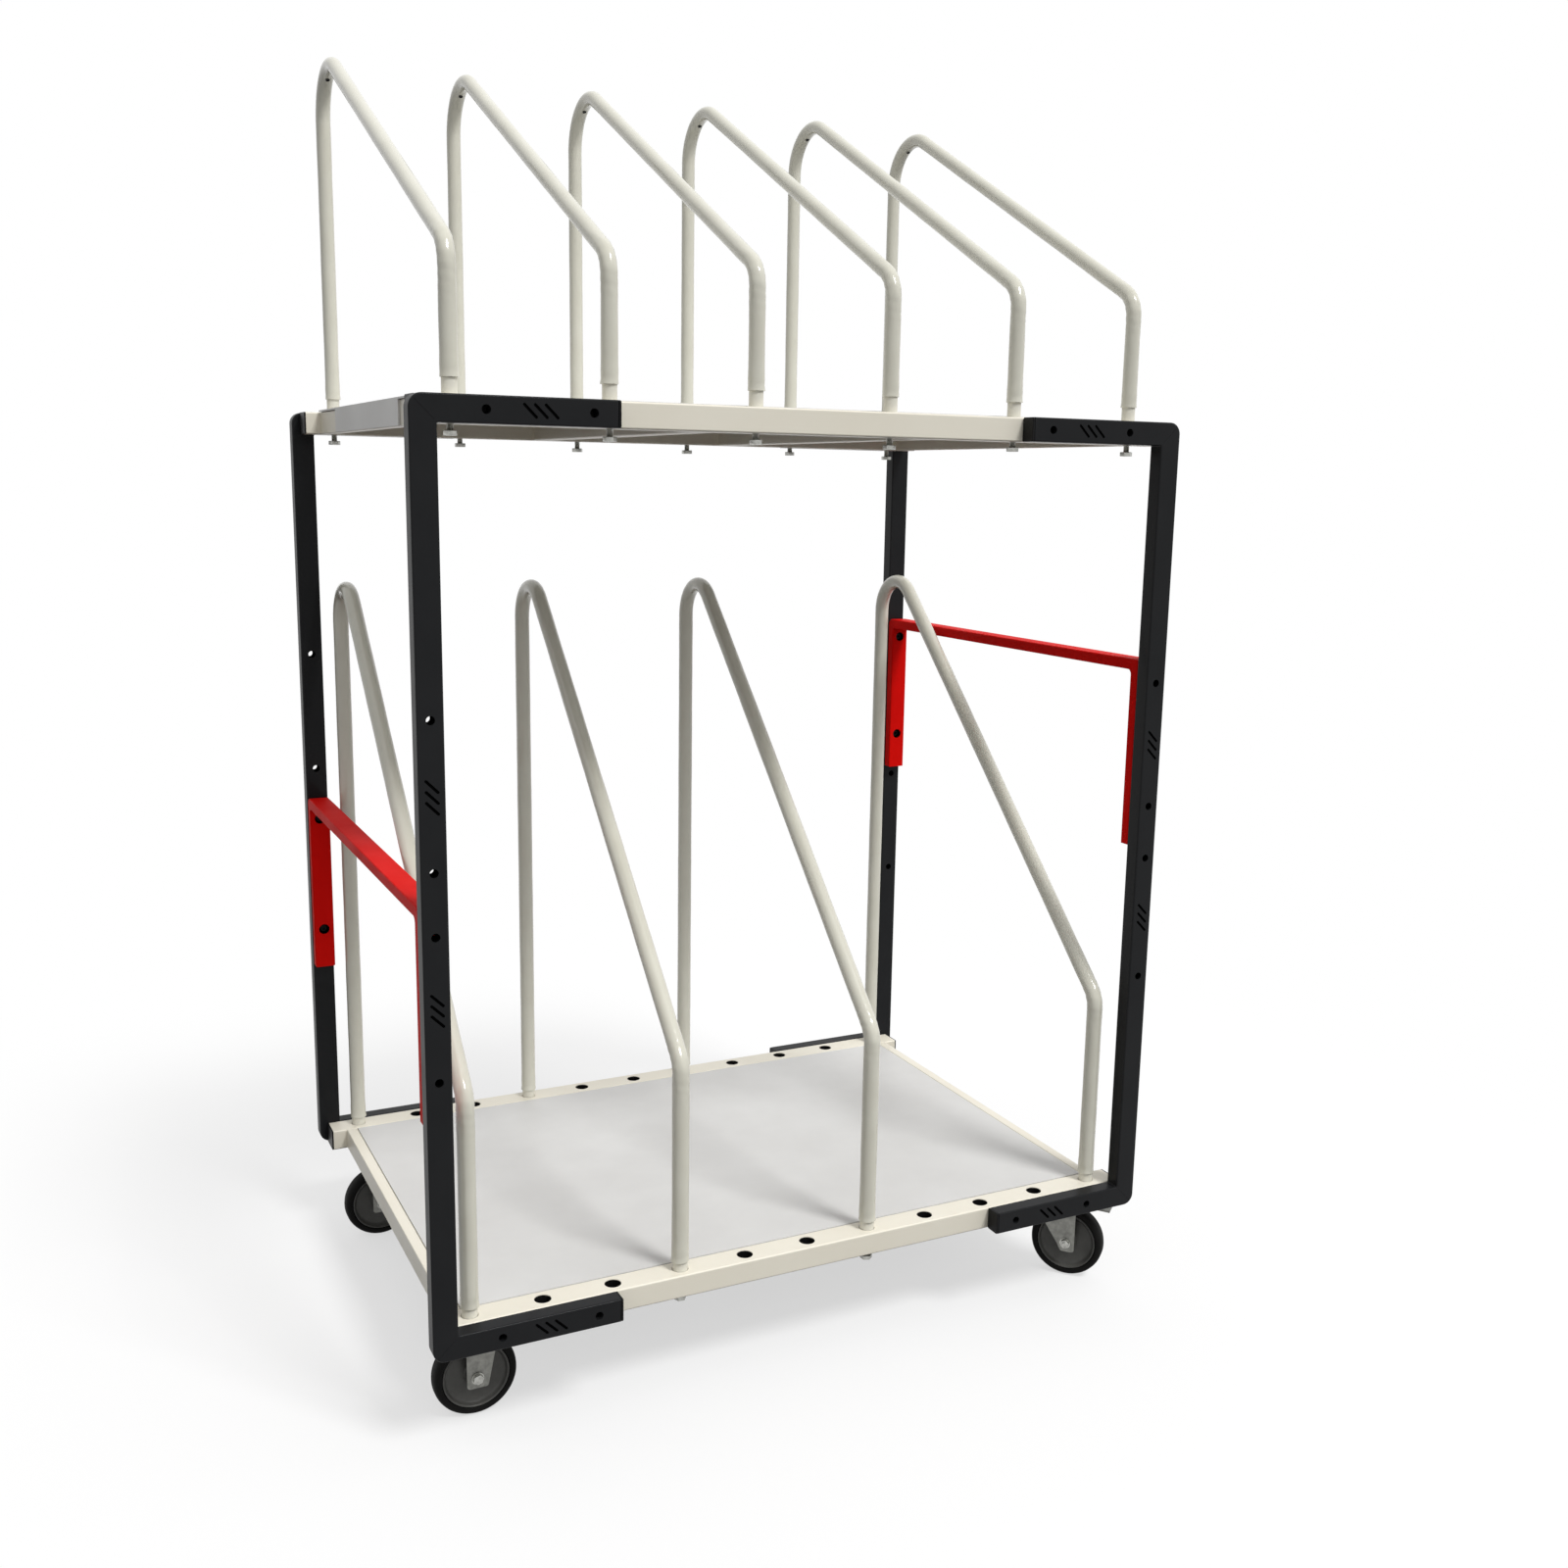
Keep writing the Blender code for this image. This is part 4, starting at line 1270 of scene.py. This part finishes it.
        # Half section of the near-black disc, painted shade for the vent hole, as (radius, height)
        profile = [(0.0003, -0.0014), (0.0036, -0.0014), (0.0039, 0.0004), (0.0035, 0.0010), (0.0029, 0.0009),
                   (0.0026, 0.0004), (0.0003, 0.0003)]
        self.shop.piece(name + "_vent", make_mesh("vent", [turned_solid(profile, frame, BOLT_SIDES)]), SCREW)


@dataclass
class Handles:
    """The two red push handles and the screws that hold them."""

    shop: Workshop
    wall: float = 0.020
    edge: float = 0.0026
    outer_radius: float = 0.012
    inner_radius: float = 0.009
    bore: float = 0.0205
    bore_floor: float = 0.0030
    bore_sides: int = 36
    tail: float = 0.077
    cup_fit: float = 0.0002
    cup_wall: float = 0.0006
    cup_lift: float = 0.0001

    def build(self) -> None:
        """Build both handles."""
        for hand in Hand:
            self.build_one(f"{hand.value}_handle")

    def build_one(self, node: str) -> None:
        """Build one handle: a bent outline with a rounded rim, less the bores that let its bolts in.

        Args:
            node: The CAD node that it replaces.
        """
        low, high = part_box(node)
        x, depth, wall = (low.x + high.x) / 2, high.x - low.x, self.wall
        inside, outside = self.inner_radius, self.outer_radius
        corners = [(low.y, low.z, 0), (low.y + wall, low.z, 0), (low.y + wall, high.z - wall, inside),
                   (high.y - wall, high.z - wall, inside), (high.y - wall, low.z, 0),
                   (high.y, low.z, 0), (high.y, high.z, outside), (low.y, high.z, outside)]
        body = soft_prism(round_corners(corners, steps=8), depth, self.edge, side_frame((x, 0, 0)))
        floors = ((low.y + self.bore_floor, 1), (high.y - self.bore_floor, -1))
        seats = [(y, inward, z) for y, inward in floors
                 for z in (low.z + self.tail, low.z + self.tail + HANDLE_PITCH)]
        disc = polygon(self.bore_sides, self.bore / 2)
        cutters = [cutter(disc, 2 * wall, front_frame((x, y + inward * wall, z))) for y, inward, z in seats]
        self.shop.piece(node + "_tube", self.shop.carve(body, cutters), RED, replaces=[node], edge=Edge.TUBE)
        self.build_screws(node, [front_frame((x, y, z), inward) for y, inward, z in seats])

    def build_screws(self, node: str, frames: Sequence[Matrix]) -> None:
        """Build the socket screws at the bottom of the bores, and near-black cups round them as painted
        shade.

        Args:
            node: The handle's CAD node.
            frames: The frames of the bores, from their floors.
        """
        rim, mouth = self.bore / 2 - self.cup_fit, self.wall - self.bore_floor - TUBE_WALL
        inside, floor = rim - self.cup_wall, self.cup_lift + self.cup_wall
        cup = [(AXIS, self.cup_lift), (rim, self.cup_lift), (rim, mouth), (inside, mouth), (inside, floor),
               (AXIS, floor)]
        head = screw_profile(head=0.0066, base=0.0009, chamfer=0.0007, top=0.0087, socket=0.0034,
                             floor=0.0045)
        shade_cups = [turned_solid(cup, frame, self.bore_sides) for frame in frames]
        heads = [turned_solid(head, frame, BOLT_SIDES) for frame in frames]
        # The near-black cups are painted shade in the bores
        self.shop.piece(node + "_cups", make_mesh("shade_cups", shade_cups), PAINTED_SHADE)
        self.shop.piece(node + "_screws", make_mesh("screws", heads), SCREW)


@dataclass
class Casters:
    """Two fixed casters at the left and two braked swivel casters at the right."""

    shop: Workshop
    radius: float = 0.070
    trail: float = 0.035
    swivel: float = math.radians(-49)
    inner: float = 0.020
    wall: float = 0.003
    wall_rim: float = 0.0007
    leg_edge: float = 0.018
    leg_lead: float = -0.042
    leg_bite: float = 0.001
    bracket_rounds: tuple[float, float] = (0.005, 0.006)
    fork_knee: tuple[float, float] = (0.016, 0.004)
    fork_toe: float = 0.009
    fork_rounds: tuple[float, float, float] = (0.012, 0.006, 0.007)
    plate_top: float = 0.1717
    plate_bottom: float = 0.1677
    plate_width: float = 0.085
    plate_length: float = 0.105
    plate_corner: float = 0.010
    plate_rim: float = 0.0008
    crown_top: float = 0.1584
    crown_bottom: float = 0.1544
    crown_corner: float = 0.004
    race: float = 0.028
    race_bite: float = 0.0008
    race_bore: float = 0.004
    race_height: float = 0.006
    race_sides: int = 48
    nut: float = 0.0075
    nut_height: float = 0.006
    nut_drop: float = 0.0032
    nut_turn: float = 20.0
    nut_places: tuple[float, float] = (0.030, 0.040)
    washer: float = 0.0088
    washer_top: float = -0.0001
    washer_bottom: float = -0.0014
    stud: float = 0.0040
    stud_length: float = 0.0096
    stud_point: float = 0.0006
    axle: float = 0.0050
    axle_ends: tuple[float, float] = (0.0085, 0.0055)
    axle_point: float = 0.0010
    axle_nut: float = 0.0090
    axle_nut_height: float = 0.0056
    axle_nut_rim: float = 0.0009
    axle_nut_middle: float = 0.0042
    axle_nut_turn: float = 0.3
    axle_washer: float = 0.0105
    axle_washer_bore: float = 0.0052
    axle_washer_thick: float = 0.0014
    axle_washer_sides: int = 32
    play: float = 0.0003
    wheel_sides: int = 96
    pivot_lead: float = 0.018
    pivot_lift: float = 0.008
    pedal_tail: float = 0.006
    pedal_reach: float = 0.116
    pedal_rise: float = -0.002
    pedal_bend: float = 0.044
    pedal_toe: float = 0.010
    pedal_thick: float = 0.003
    pedal_width: float = 0.028
    pin: float = 0.0030

    def build(self) -> None:
        """Build the four casters."""
        for side in Side:
            self.build_fixed(f"{side.value}_left_caster", f"{side.value}_left_wheel")
            self.build_swivel(f"{side.value}_right_caster", f"{side.value}_right")

    @staticmethod
    def stand(node: str, angle: float) -> Matrix:
        """Return a caster's frame on the floor: first axis the trail, second axis the axle.

        Args:
            node: The CAD node that it stands under.
            angle: The way that it points.

        Returns:
            The frame.
        """
        low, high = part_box(node)
        middle = Matrix.Translation(((low.x + high.x) / 2, (low.y + high.y) / 2, 0))
        return middle @ Matrix.Rotation(angle, 4, "Z")

    def build_fixed(self, prefix: str, wheel_body: str) -> None:
        """Build a fixed caster about its axle.

        Args:
            prefix: The start of its CAD nodes' names.
            wheel_body: The body of its wheel.
        """
        frame = self.stand(prefix + "_axle", math.pi)
        foot, head = self.radius - self.leg_edge, self.plate_bottom + self.leg_bite
        ahead, behind = self.bracket_rounds
        legs = self.leg_solids(frame, [(self.leg_edge, head, 0), (self.leg_lead, head, 0),
                                       (-self.leg_edge, foot, ahead), (self.leg_edge, foot, behind)])
        mesh = make_mesh(prefix, [*legs, self.plate_solid(frame)])
        self.shop.piece(prefix + "_pressing", mesh, ZINC, replaces=[prefix + "_bracket"], edge=Edge.TUBE)
        self.build_plate_nuts(prefix, frame)
        axle = frame @ front_frame((0, 0, self.radius))
        self.build_axle(prefix, axle, "chassis")
        self.build_wheel(prefix, axle, wheel_body)

    def build_swivel(self, prefix: str, bodies: str) -> None:
        """Build a swivel caster: plate and race on the chassis, fork, wheel and pedal below.

        Args:
            prefix: The start of its CAD nodes' names.
            bodies: The start of its bodies' names.
        """
        still, turning = (self.stand(prefix + "_plate", angle) for angle in (0.0, self.swivel))
        rim, bore, seat = self.race, self.race_bore, self.crown_top
        top, base = self.plate_bottom + self.race_bite, self.plate_bottom - self.race_height
        # Half sections of the race and of the fork's crown ring as (radius, height)
        race = [(bore, top), (rim, top), (rim, base + 0.0034), (rim - 0.002, base + 0.0016),
                (rim - 0.004, base), (bore, base)]
        mesh = make_mesh(prefix, [self.plate_solid(still), turned_solid(race, still, self.race_sides, True)])
        self.shop.piece(prefix + "_top", mesh, ZINC, replaces=[prefix + "_plate"], edge=Edge.TUBE)
        self.build_plate_nuts(prefix, still)
        crown = [(bore, seat - 0.0020), (rim + 0.001, seat - 0.0020), (rim + 0.001, seat + 0.0010),
                 (rim - 0.001, seat + 0.0020), (rim - 0.004, seat + 0.0030), (bore, seat + 0.0030)]
        foot, back = self.radius - self.leg_edge, self.trail + self.leg_edge
        knee_lead, knee_drop = self.fork_knee
        knee_round, toe_round, heel_round = self.fork_rounds
        legs = self.leg_solids(turning, [
            (back, seat, 0), (self.leg_lead, seat, 0),
            (self.trail - knee_lead, self.radius - knee_drop, knee_round),
            (self.trail - self.fork_toe, foot, toe_round), (back, foot, heel_round)])
        mesh = make_mesh(prefix, [*legs, self.crown_solid(turning),
                                  turned_solid(crown, turning, self.race_sides, True)])
        node, fork_body = prefix + "_fork", bodies + "_fork"
        self.shop.piece(node + "_pressing", mesh, ZINC, fork_body, [node], Edge.TUBE)
        axle = turning @ front_frame((self.trail, 0, self.radius))
        self.build_axle(prefix, axle, fork_body)
        self.build_wheel(prefix, axle, bodies + "_wheel")
        self.build_pedal(prefix + "_brake_pedal", turning, bodies + "_pedal")

    def leg_solids(self, frame: Matrix, corners: Sequence[tuple[float, float, float]]) -> list[Solid]:
        """Return the two legs of a fork: upright behind the axle, slanted ahead of it, round at the foot.

        Args:
            frame: The caster's frame.
            corners: A leg's corners seen along the axle, as (x, z, radius).

        Returns:
            Points and faces of both legs.
        """
        outline, offset = round_corners(corners), self.inner + self.wall / 2
        return [soft_prism(outline, self.wall, self.wall_rim, frame @ front_frame((0, y, 0)), 2)
                for y in (-offset, offset)]

    def plate_solid(self, frame: Matrix) -> Solid:
        """Return the top plate, a flat rectangle with round corners.

        Args:
            frame: The caster's frame.

        Returns:
            Points and faces.
        """
        thick = self.plate_top - self.plate_bottom
        outline = rectangle(self.plate_width, self.plate_length, self.plate_corner)
        middle = flat_frame((0, 0, self.plate_bottom + thick / 2))
        return soft_prism(outline, thick, self.plate_rim, frame @ middle, 3)

    def crown_solid(self, frame: Matrix) -> Solid:
        """Return the crown that joins the legs of a swivel fork, a flat plate with round corners.

        Args:
            frame: The caster's frame.

        Returns:
            Points and faces.
        """
        thick, round_off = self.crown_top - self.crown_bottom, self.crown_corner
        front, back, half = self.leg_lead, self.trail + self.leg_edge, self.inner + self.wall
        corners = [(front, -half, round_off), (back, -half, round_off), (back, half, round_off),
                   (front, half, round_off)]
        middle = frame @ flat_frame((0, 0, self.crown_bottom + thick / 2))
        return soft_prism(round_corners(corners, steps=5), thick, self.plate_rim, middle, 3)

    def build_plate_nuts(self, prefix: str, frame: Matrix) -> None:
        """Build the nuts that hold a top plate to the shelf frame, one near each corner.

        Args:
            prefix: The start of the pieces' names.
            frame: The caster's frame.
        """
        washer = ring_profile(AXIS, self.washer, self.washer_top, self.washer_bottom)
        end, point = -self.stud_length, self.stud_point
        stud = [(AXIS, 0.0), (self.stud, 0.0), (self.stud, end + point), (self.stud - point, end),
                (AXIS, end)]
        solids = []
        across, along = self.nut_places
        for x in (-across, across):
            for y in (-along, along):
                seat = frame @ flat_frame((x, y, self.plate_bottom))
                solids.append(hex_nut(self.nut, self.nut_height, self.wall_rim,
                                      seat @ flat_frame((0, 0, -self.nut_drop)), self.nut_turn * (x + y)))
                solids.append(turned_solid(washer, seat, BOLT_SIDES))
                solids.append(turned_solid(stud, seat, SCREW_SIDES))
        self.shop.piece(prefix + "_nuts", make_mesh("nuts", solids), BRIGHT_ZINC)

    def build_axle(self, prefix: str, axle: Matrix, body: str) -> None:
        """Build the axle bolt: shank, washers, and a chamfered hex at each end.

        Args:
            prefix: The start of the pieces' names.
            axle: The frame of the axle, about its third axis.
            body: The body that it moves with.
        """
        half, point = self.inner + self.wall, self.axle_point
        end, head = half + self.axle_ends[0], -half - self.axle_ends[1]
        shank = [(AXIS, end), (self.axle - point, end), (self.axle, end - point), (self.axle, head),
                 (AXIS, head)]
        solids = [turned_solid(shank, axle, BOLT_SIDES)]
        for side in (-1, 1):
            seat = side * (half + self.play)
            washer = ring_profile(self.axle_washer_bore, self.axle_washer, seat,
                                  seat + side * self.axle_washer_thick)
            solids.append(turned_solid(washer, axle, self.axle_washer_sides, True))
            middle = axle @ flat_frame((0, 0, seat + side * self.axle_nut_middle))
            solids.append(hex_nut(self.axle_nut, self.axle_nut_height, self.axle_nut_rim, middle,
                                  self.axle_nut_turn * side))
        self.shop.piece(prefix + "_axle_bolt", make_mesh("axle", solids), BRIGHT_ZINC, body,
                        [prefix + "_axle"], Edge.TUBE)

    def build_wheel(self, prefix: str, axle: Matrix, body: str) -> None:
        """Build the rim and tyre, turned about the axle from their half sections as (radius, height).

        Args:
            prefix: The start of the pieces' names.
            axle: The frame of the axle, about its third axis.
            body: The body of the wheel.
        """
        half_rim = [(0.0054, 0.0195), (0.0125, 0.0195), (0.0138, 0.0182), (0.0142, 0.0092), (0.0176, 0.0088),
                    (0.0188, 0.0074), (0.0200, 0.0058), (0.0330, 0.0052), (0.0468, 0.0060), (0.0508, 0.0088),
                    (0.0520, 0.0126), (0.0529, 0.0144), (0.0543, 0.0151), (0.0556, 0.0147), (0.0562, 0.0136)]
        half_tyre = [(0.0567, 0.0136), (0.0576, 0.0151), (0.0600, 0.0160), (0.0635, 0.0158), (0.0666, 0.0143),
                     (0.0688, 0.0108), (0.0700, 0.0055)]
        for word, half, finish in (("rim", half_rim, NYLON), ("tyre", half_tyre, RUBBER)):
            profile = half + [(radius, -height) for radius, height in reversed(half)]
            mesh = make_mesh(word, [turned_solid(profile, axle, self.wheel_sides, True)])
            node = f"{prefix}_{word}"
            self.shop.piece(node + "_turned", mesh, finish, body, [node], Edge.WHEEL)

    def build_pedal(self, node: str, frame: Matrix, body: str) -> None:
        """Build the brake pedal: a bent strip with soft edges and its pin.

        Args:
            node: The CAD node that it replaces.
            frame: The caster's frame.
            body: The body of the pedal.
        """
        pivot = Vector((self.pivot_lead, 0.0, 2 * self.radius + self.pivot_lift))
        reach, bend = self.pedal_reach - pivot.x, self.pedal_bend
        slope = self.pedal_rise / (reach - bend)
        knee = reach - self.pedal_toe
        line = np.array([(-self.pedal_tail, 0.0), (bend, 0.0), (knee, slope * (knee - bend)),
                         (reach, self.pedal_rise)])
        half = np.array([0, self.pedal_thick / 2])
        outline = np.concatenate([line - half, (line + half)[::-1]])
        stand = frame @ front_frame(pivot)
        end = self.inner - self.play
        solids = [soft_prism(outline, self.pedal_width, self.plate_rim, stand, 3),
                  turned_solid(ring_profile(AXIS, self.pin, end, -end), stand, BOLT_SIDES)]
        self.shop.piece(node + "_strip", make_mesh("pedal", solids), ZINC, body, [node], Edge.TUBE)


@dataclass
class Studio:
    """Camera, soft light and the pale floor."""

    lens: float = 36.256
    sensor: float = 36.0
    place: tuple[float, float, float] = (-1.2043, -2.6943, 1.5181)
    yaw: float = math.radians(26.696)
    pitch: float = math.radians(10.806)
    roll: float = math.radians(-0.992)
    surround: float = 0.54
    tilt: float = 0.30
    bright_side: tuple[float, float, float] = (0.62, -0.50, 0.60)
    key: tuple[float, float, float] = (0.24, -0.54, 0.80)
    key_strength: float = 2.00
    key_spread: float = math.radians(16)
    floor_reach: float = 30.0
    floor_dull: tuple[float, float, float, float] = (0.04, 0.039, 0.036, 1.0)
    floor_pale: tuple[float, float, float, float] = (0.90, 0.90, 0.90, 1.0)
    shadow_span: tuple[float, float] = (0.7, 2.4)
    shadow_fade: float = 0.60

    def build(self) -> None:
        """Build the stage."""
        self.build_camera()
        self.build_lights()
        self.build_floor()
        bpy.context.scene.view_settings.view_transform = "Standard"

    def build_camera(self) -> None:
        """Build the camera from its place and its three angles."""
        yaw, pitch = self.yaw, self.pitch
        ahead = Vector((math.sin(yaw) * math.cos(pitch), math.cos(yaw) * math.cos(pitch), -math.sin(pitch)))
        right = Vector((math.cos(yaw), -math.sin(yaw), 0.0))
        down = ahead.cross(right)
        turned_right = math.cos(self.roll) * right + math.sin(self.roll) * down
        turned_down = -math.sin(self.roll) * right + math.cos(self.roll) * down
        data = bpy.data.cameras.new("camera")
        data.lens = self.lens
        data.sensor_width = self.sensor
        camera = bpy.data.objects.new("camera", data)
        camera.matrix_world = axes_frame(turned_right, -turned_down, -ahead, self.place)
        bpy.context.scene.collection.objects.link(camera)
        bpy.context.scene.camera = camera

    def build_lights(self) -> None:
        """Build the surround and one soft distant lamp above the front.

        For soft light the surround's strength is its mean plus the tilt times the cosine of the angle to the
        bright side. Where it is seen it is white.
        """
        world = bpy.data.worlds.new("studio")
        world.use_nodes = True
        tree = world.node_tree
        place = add_node(tree, "ShaderNodeTexCoord", {}).outputs["Object"]
        toward = add_node(tree, "ShaderNodeVectorMath", {0: place, 1: Vector(self.bright_side).normalized()},
                          operation="DOT_PRODUCT")
        soft = add_node(tree, "ShaderNodeMath", {
            0: toward.outputs["Value"], 1: self.tilt, 2: self.surround}, operation="MULTIPLY_ADD")
        strength = add_node(tree, "ShaderNodeMapRange", {
            "Value": self.seen_mask(tree), "To Min": soft.outputs[0], "To Max": 1.0})
        feed(tree, tree.nodes["Background"], {
            "Color": (1.0, 1.0, 1.0, 1.0), "Strength": strength.outputs["Result"]})
        bpy.context.scene.world = world
        data = bpy.data.lights.new("hall_lamps", "SUN")
        data.energy = self.key_strength
        data.angle = self.key_spread
        lamp = bpy.data.objects.new("hall_lamps", data)
        lamp.rotation_euler = Vector(self.key).to_track_quat("Z", "Y").to_euler()
        bpy.context.scene.collection.objects.link(lamp)

    @staticmethod
    def seen_mask(tree: bpy.types.NodeTree) -> bpy.types.NodeSocket:
        """Add a value that is 1 for rays from the camera, mirrors and glass, and 0 for soft light.

        Args:
            tree: The node tree that it goes into.

        Returns:
            The output that carries it.
        """
        rays = add_node(tree, "ShaderNodeLightPath", {}).outputs
        seen = rays["Is Camera Ray"]
        for ray in ("Is Glossy Ray", "Is Transmission Ray"):
            seen = add_node(tree, "ShaderNodeMath", {0: seen, 1: rays[ray]}, operation="MAXIMUM").outputs[0]
        return seen

    def build_floor(self) -> None:
        """Build the floor, which looks white and keeps a soft shadow under the trolley.

        Where it is seen, it goes from a pale lit surface near the trolley to plain white further out.
        """
        mesh = bpy.data.meshes.new("floor")
        reach = self.floor_reach
        corners = [(-reach, -reach, 0), (reach, -reach, 0), (reach, reach, 0), (-reach, reach, 0)]
        mesh.from_pydata(corners, [], [(0, 1, 2, 3)])
        floor = bpy.data.objects.new("floor", mesh)
        bpy.context.scene.collection.objects.link(floor)
        material = bpy.data.materials.new("pale_floor")
        material.use_nodes = True
        tree = material.node_tree
        tree.nodes.remove(tree.nodes["Principled BSDF"])
        dull = add_node(tree, "ShaderNodeBsdfDiffuse", {"Color": self.floor_dull})
        lit = add_node(tree, "ShaderNodeBsdfDiffuse", {"Color": self.floor_pale})
        white = add_node(tree, "ShaderNodeEmission", {})
        place = add_node(tree, "ShaderNodeTexCoord", {}).outputs["Object"]
        away = add_node(tree, "ShaderNodeVectorMath", {0: place}, operation="LENGTH").outputs["Value"]
        near, far = self.shadow_span
        fade = add_node(tree, "ShaderNodeMapRange", {
            "Value": away, "From Min": near, "From Max": far, "To Min": self.shadow_fade, "To Max": 1.0},
            interpolation_type="SMOOTHSTEP").outputs["Result"]
        pale = add_node(tree, "ShaderNodeMixShader", {"Fac": fade, 1: lit.outputs[0], 2: white.outputs[0]})
        whole = add_node(tree, "ShaderNodeMixShader", {
            "Fac": self.seen_mask(tree), 1: dull.outputs[0], 2: pale.outputs[0]})
        feed(tree, tree.nodes["Material Output"], {"Surface": whole.outputs[0]})
        mesh.materials.append(material)


def main() -> None:
    """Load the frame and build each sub-assembly in order."""
    logging.basicConfig(level=logging.INFO, format="%(name)s: %(message)s")
    for obj in list(bpy.data.objects):
        bpy.data.objects.remove(obj, do_unlink=True)
    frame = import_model()
    shop = Workshop(FinishBook())
    builders: list[tuple[str, Callable[[], None]]] = [
        ("uprights", Uprights(shop).build),
        ("shelf frames", lambda: ShelfFrames(shop).build(frame["nodes"])),
        ("hoops", Hoops(shop).build),
        ("handles", Handles(shop).build),
        ("casters", Casters(shop).build),
        ("studio", Studio().build),
    ]
    for name, build in builders:
        LOG.info("building the %s", name)
        build()


if __name__ == "__main__":
    main()
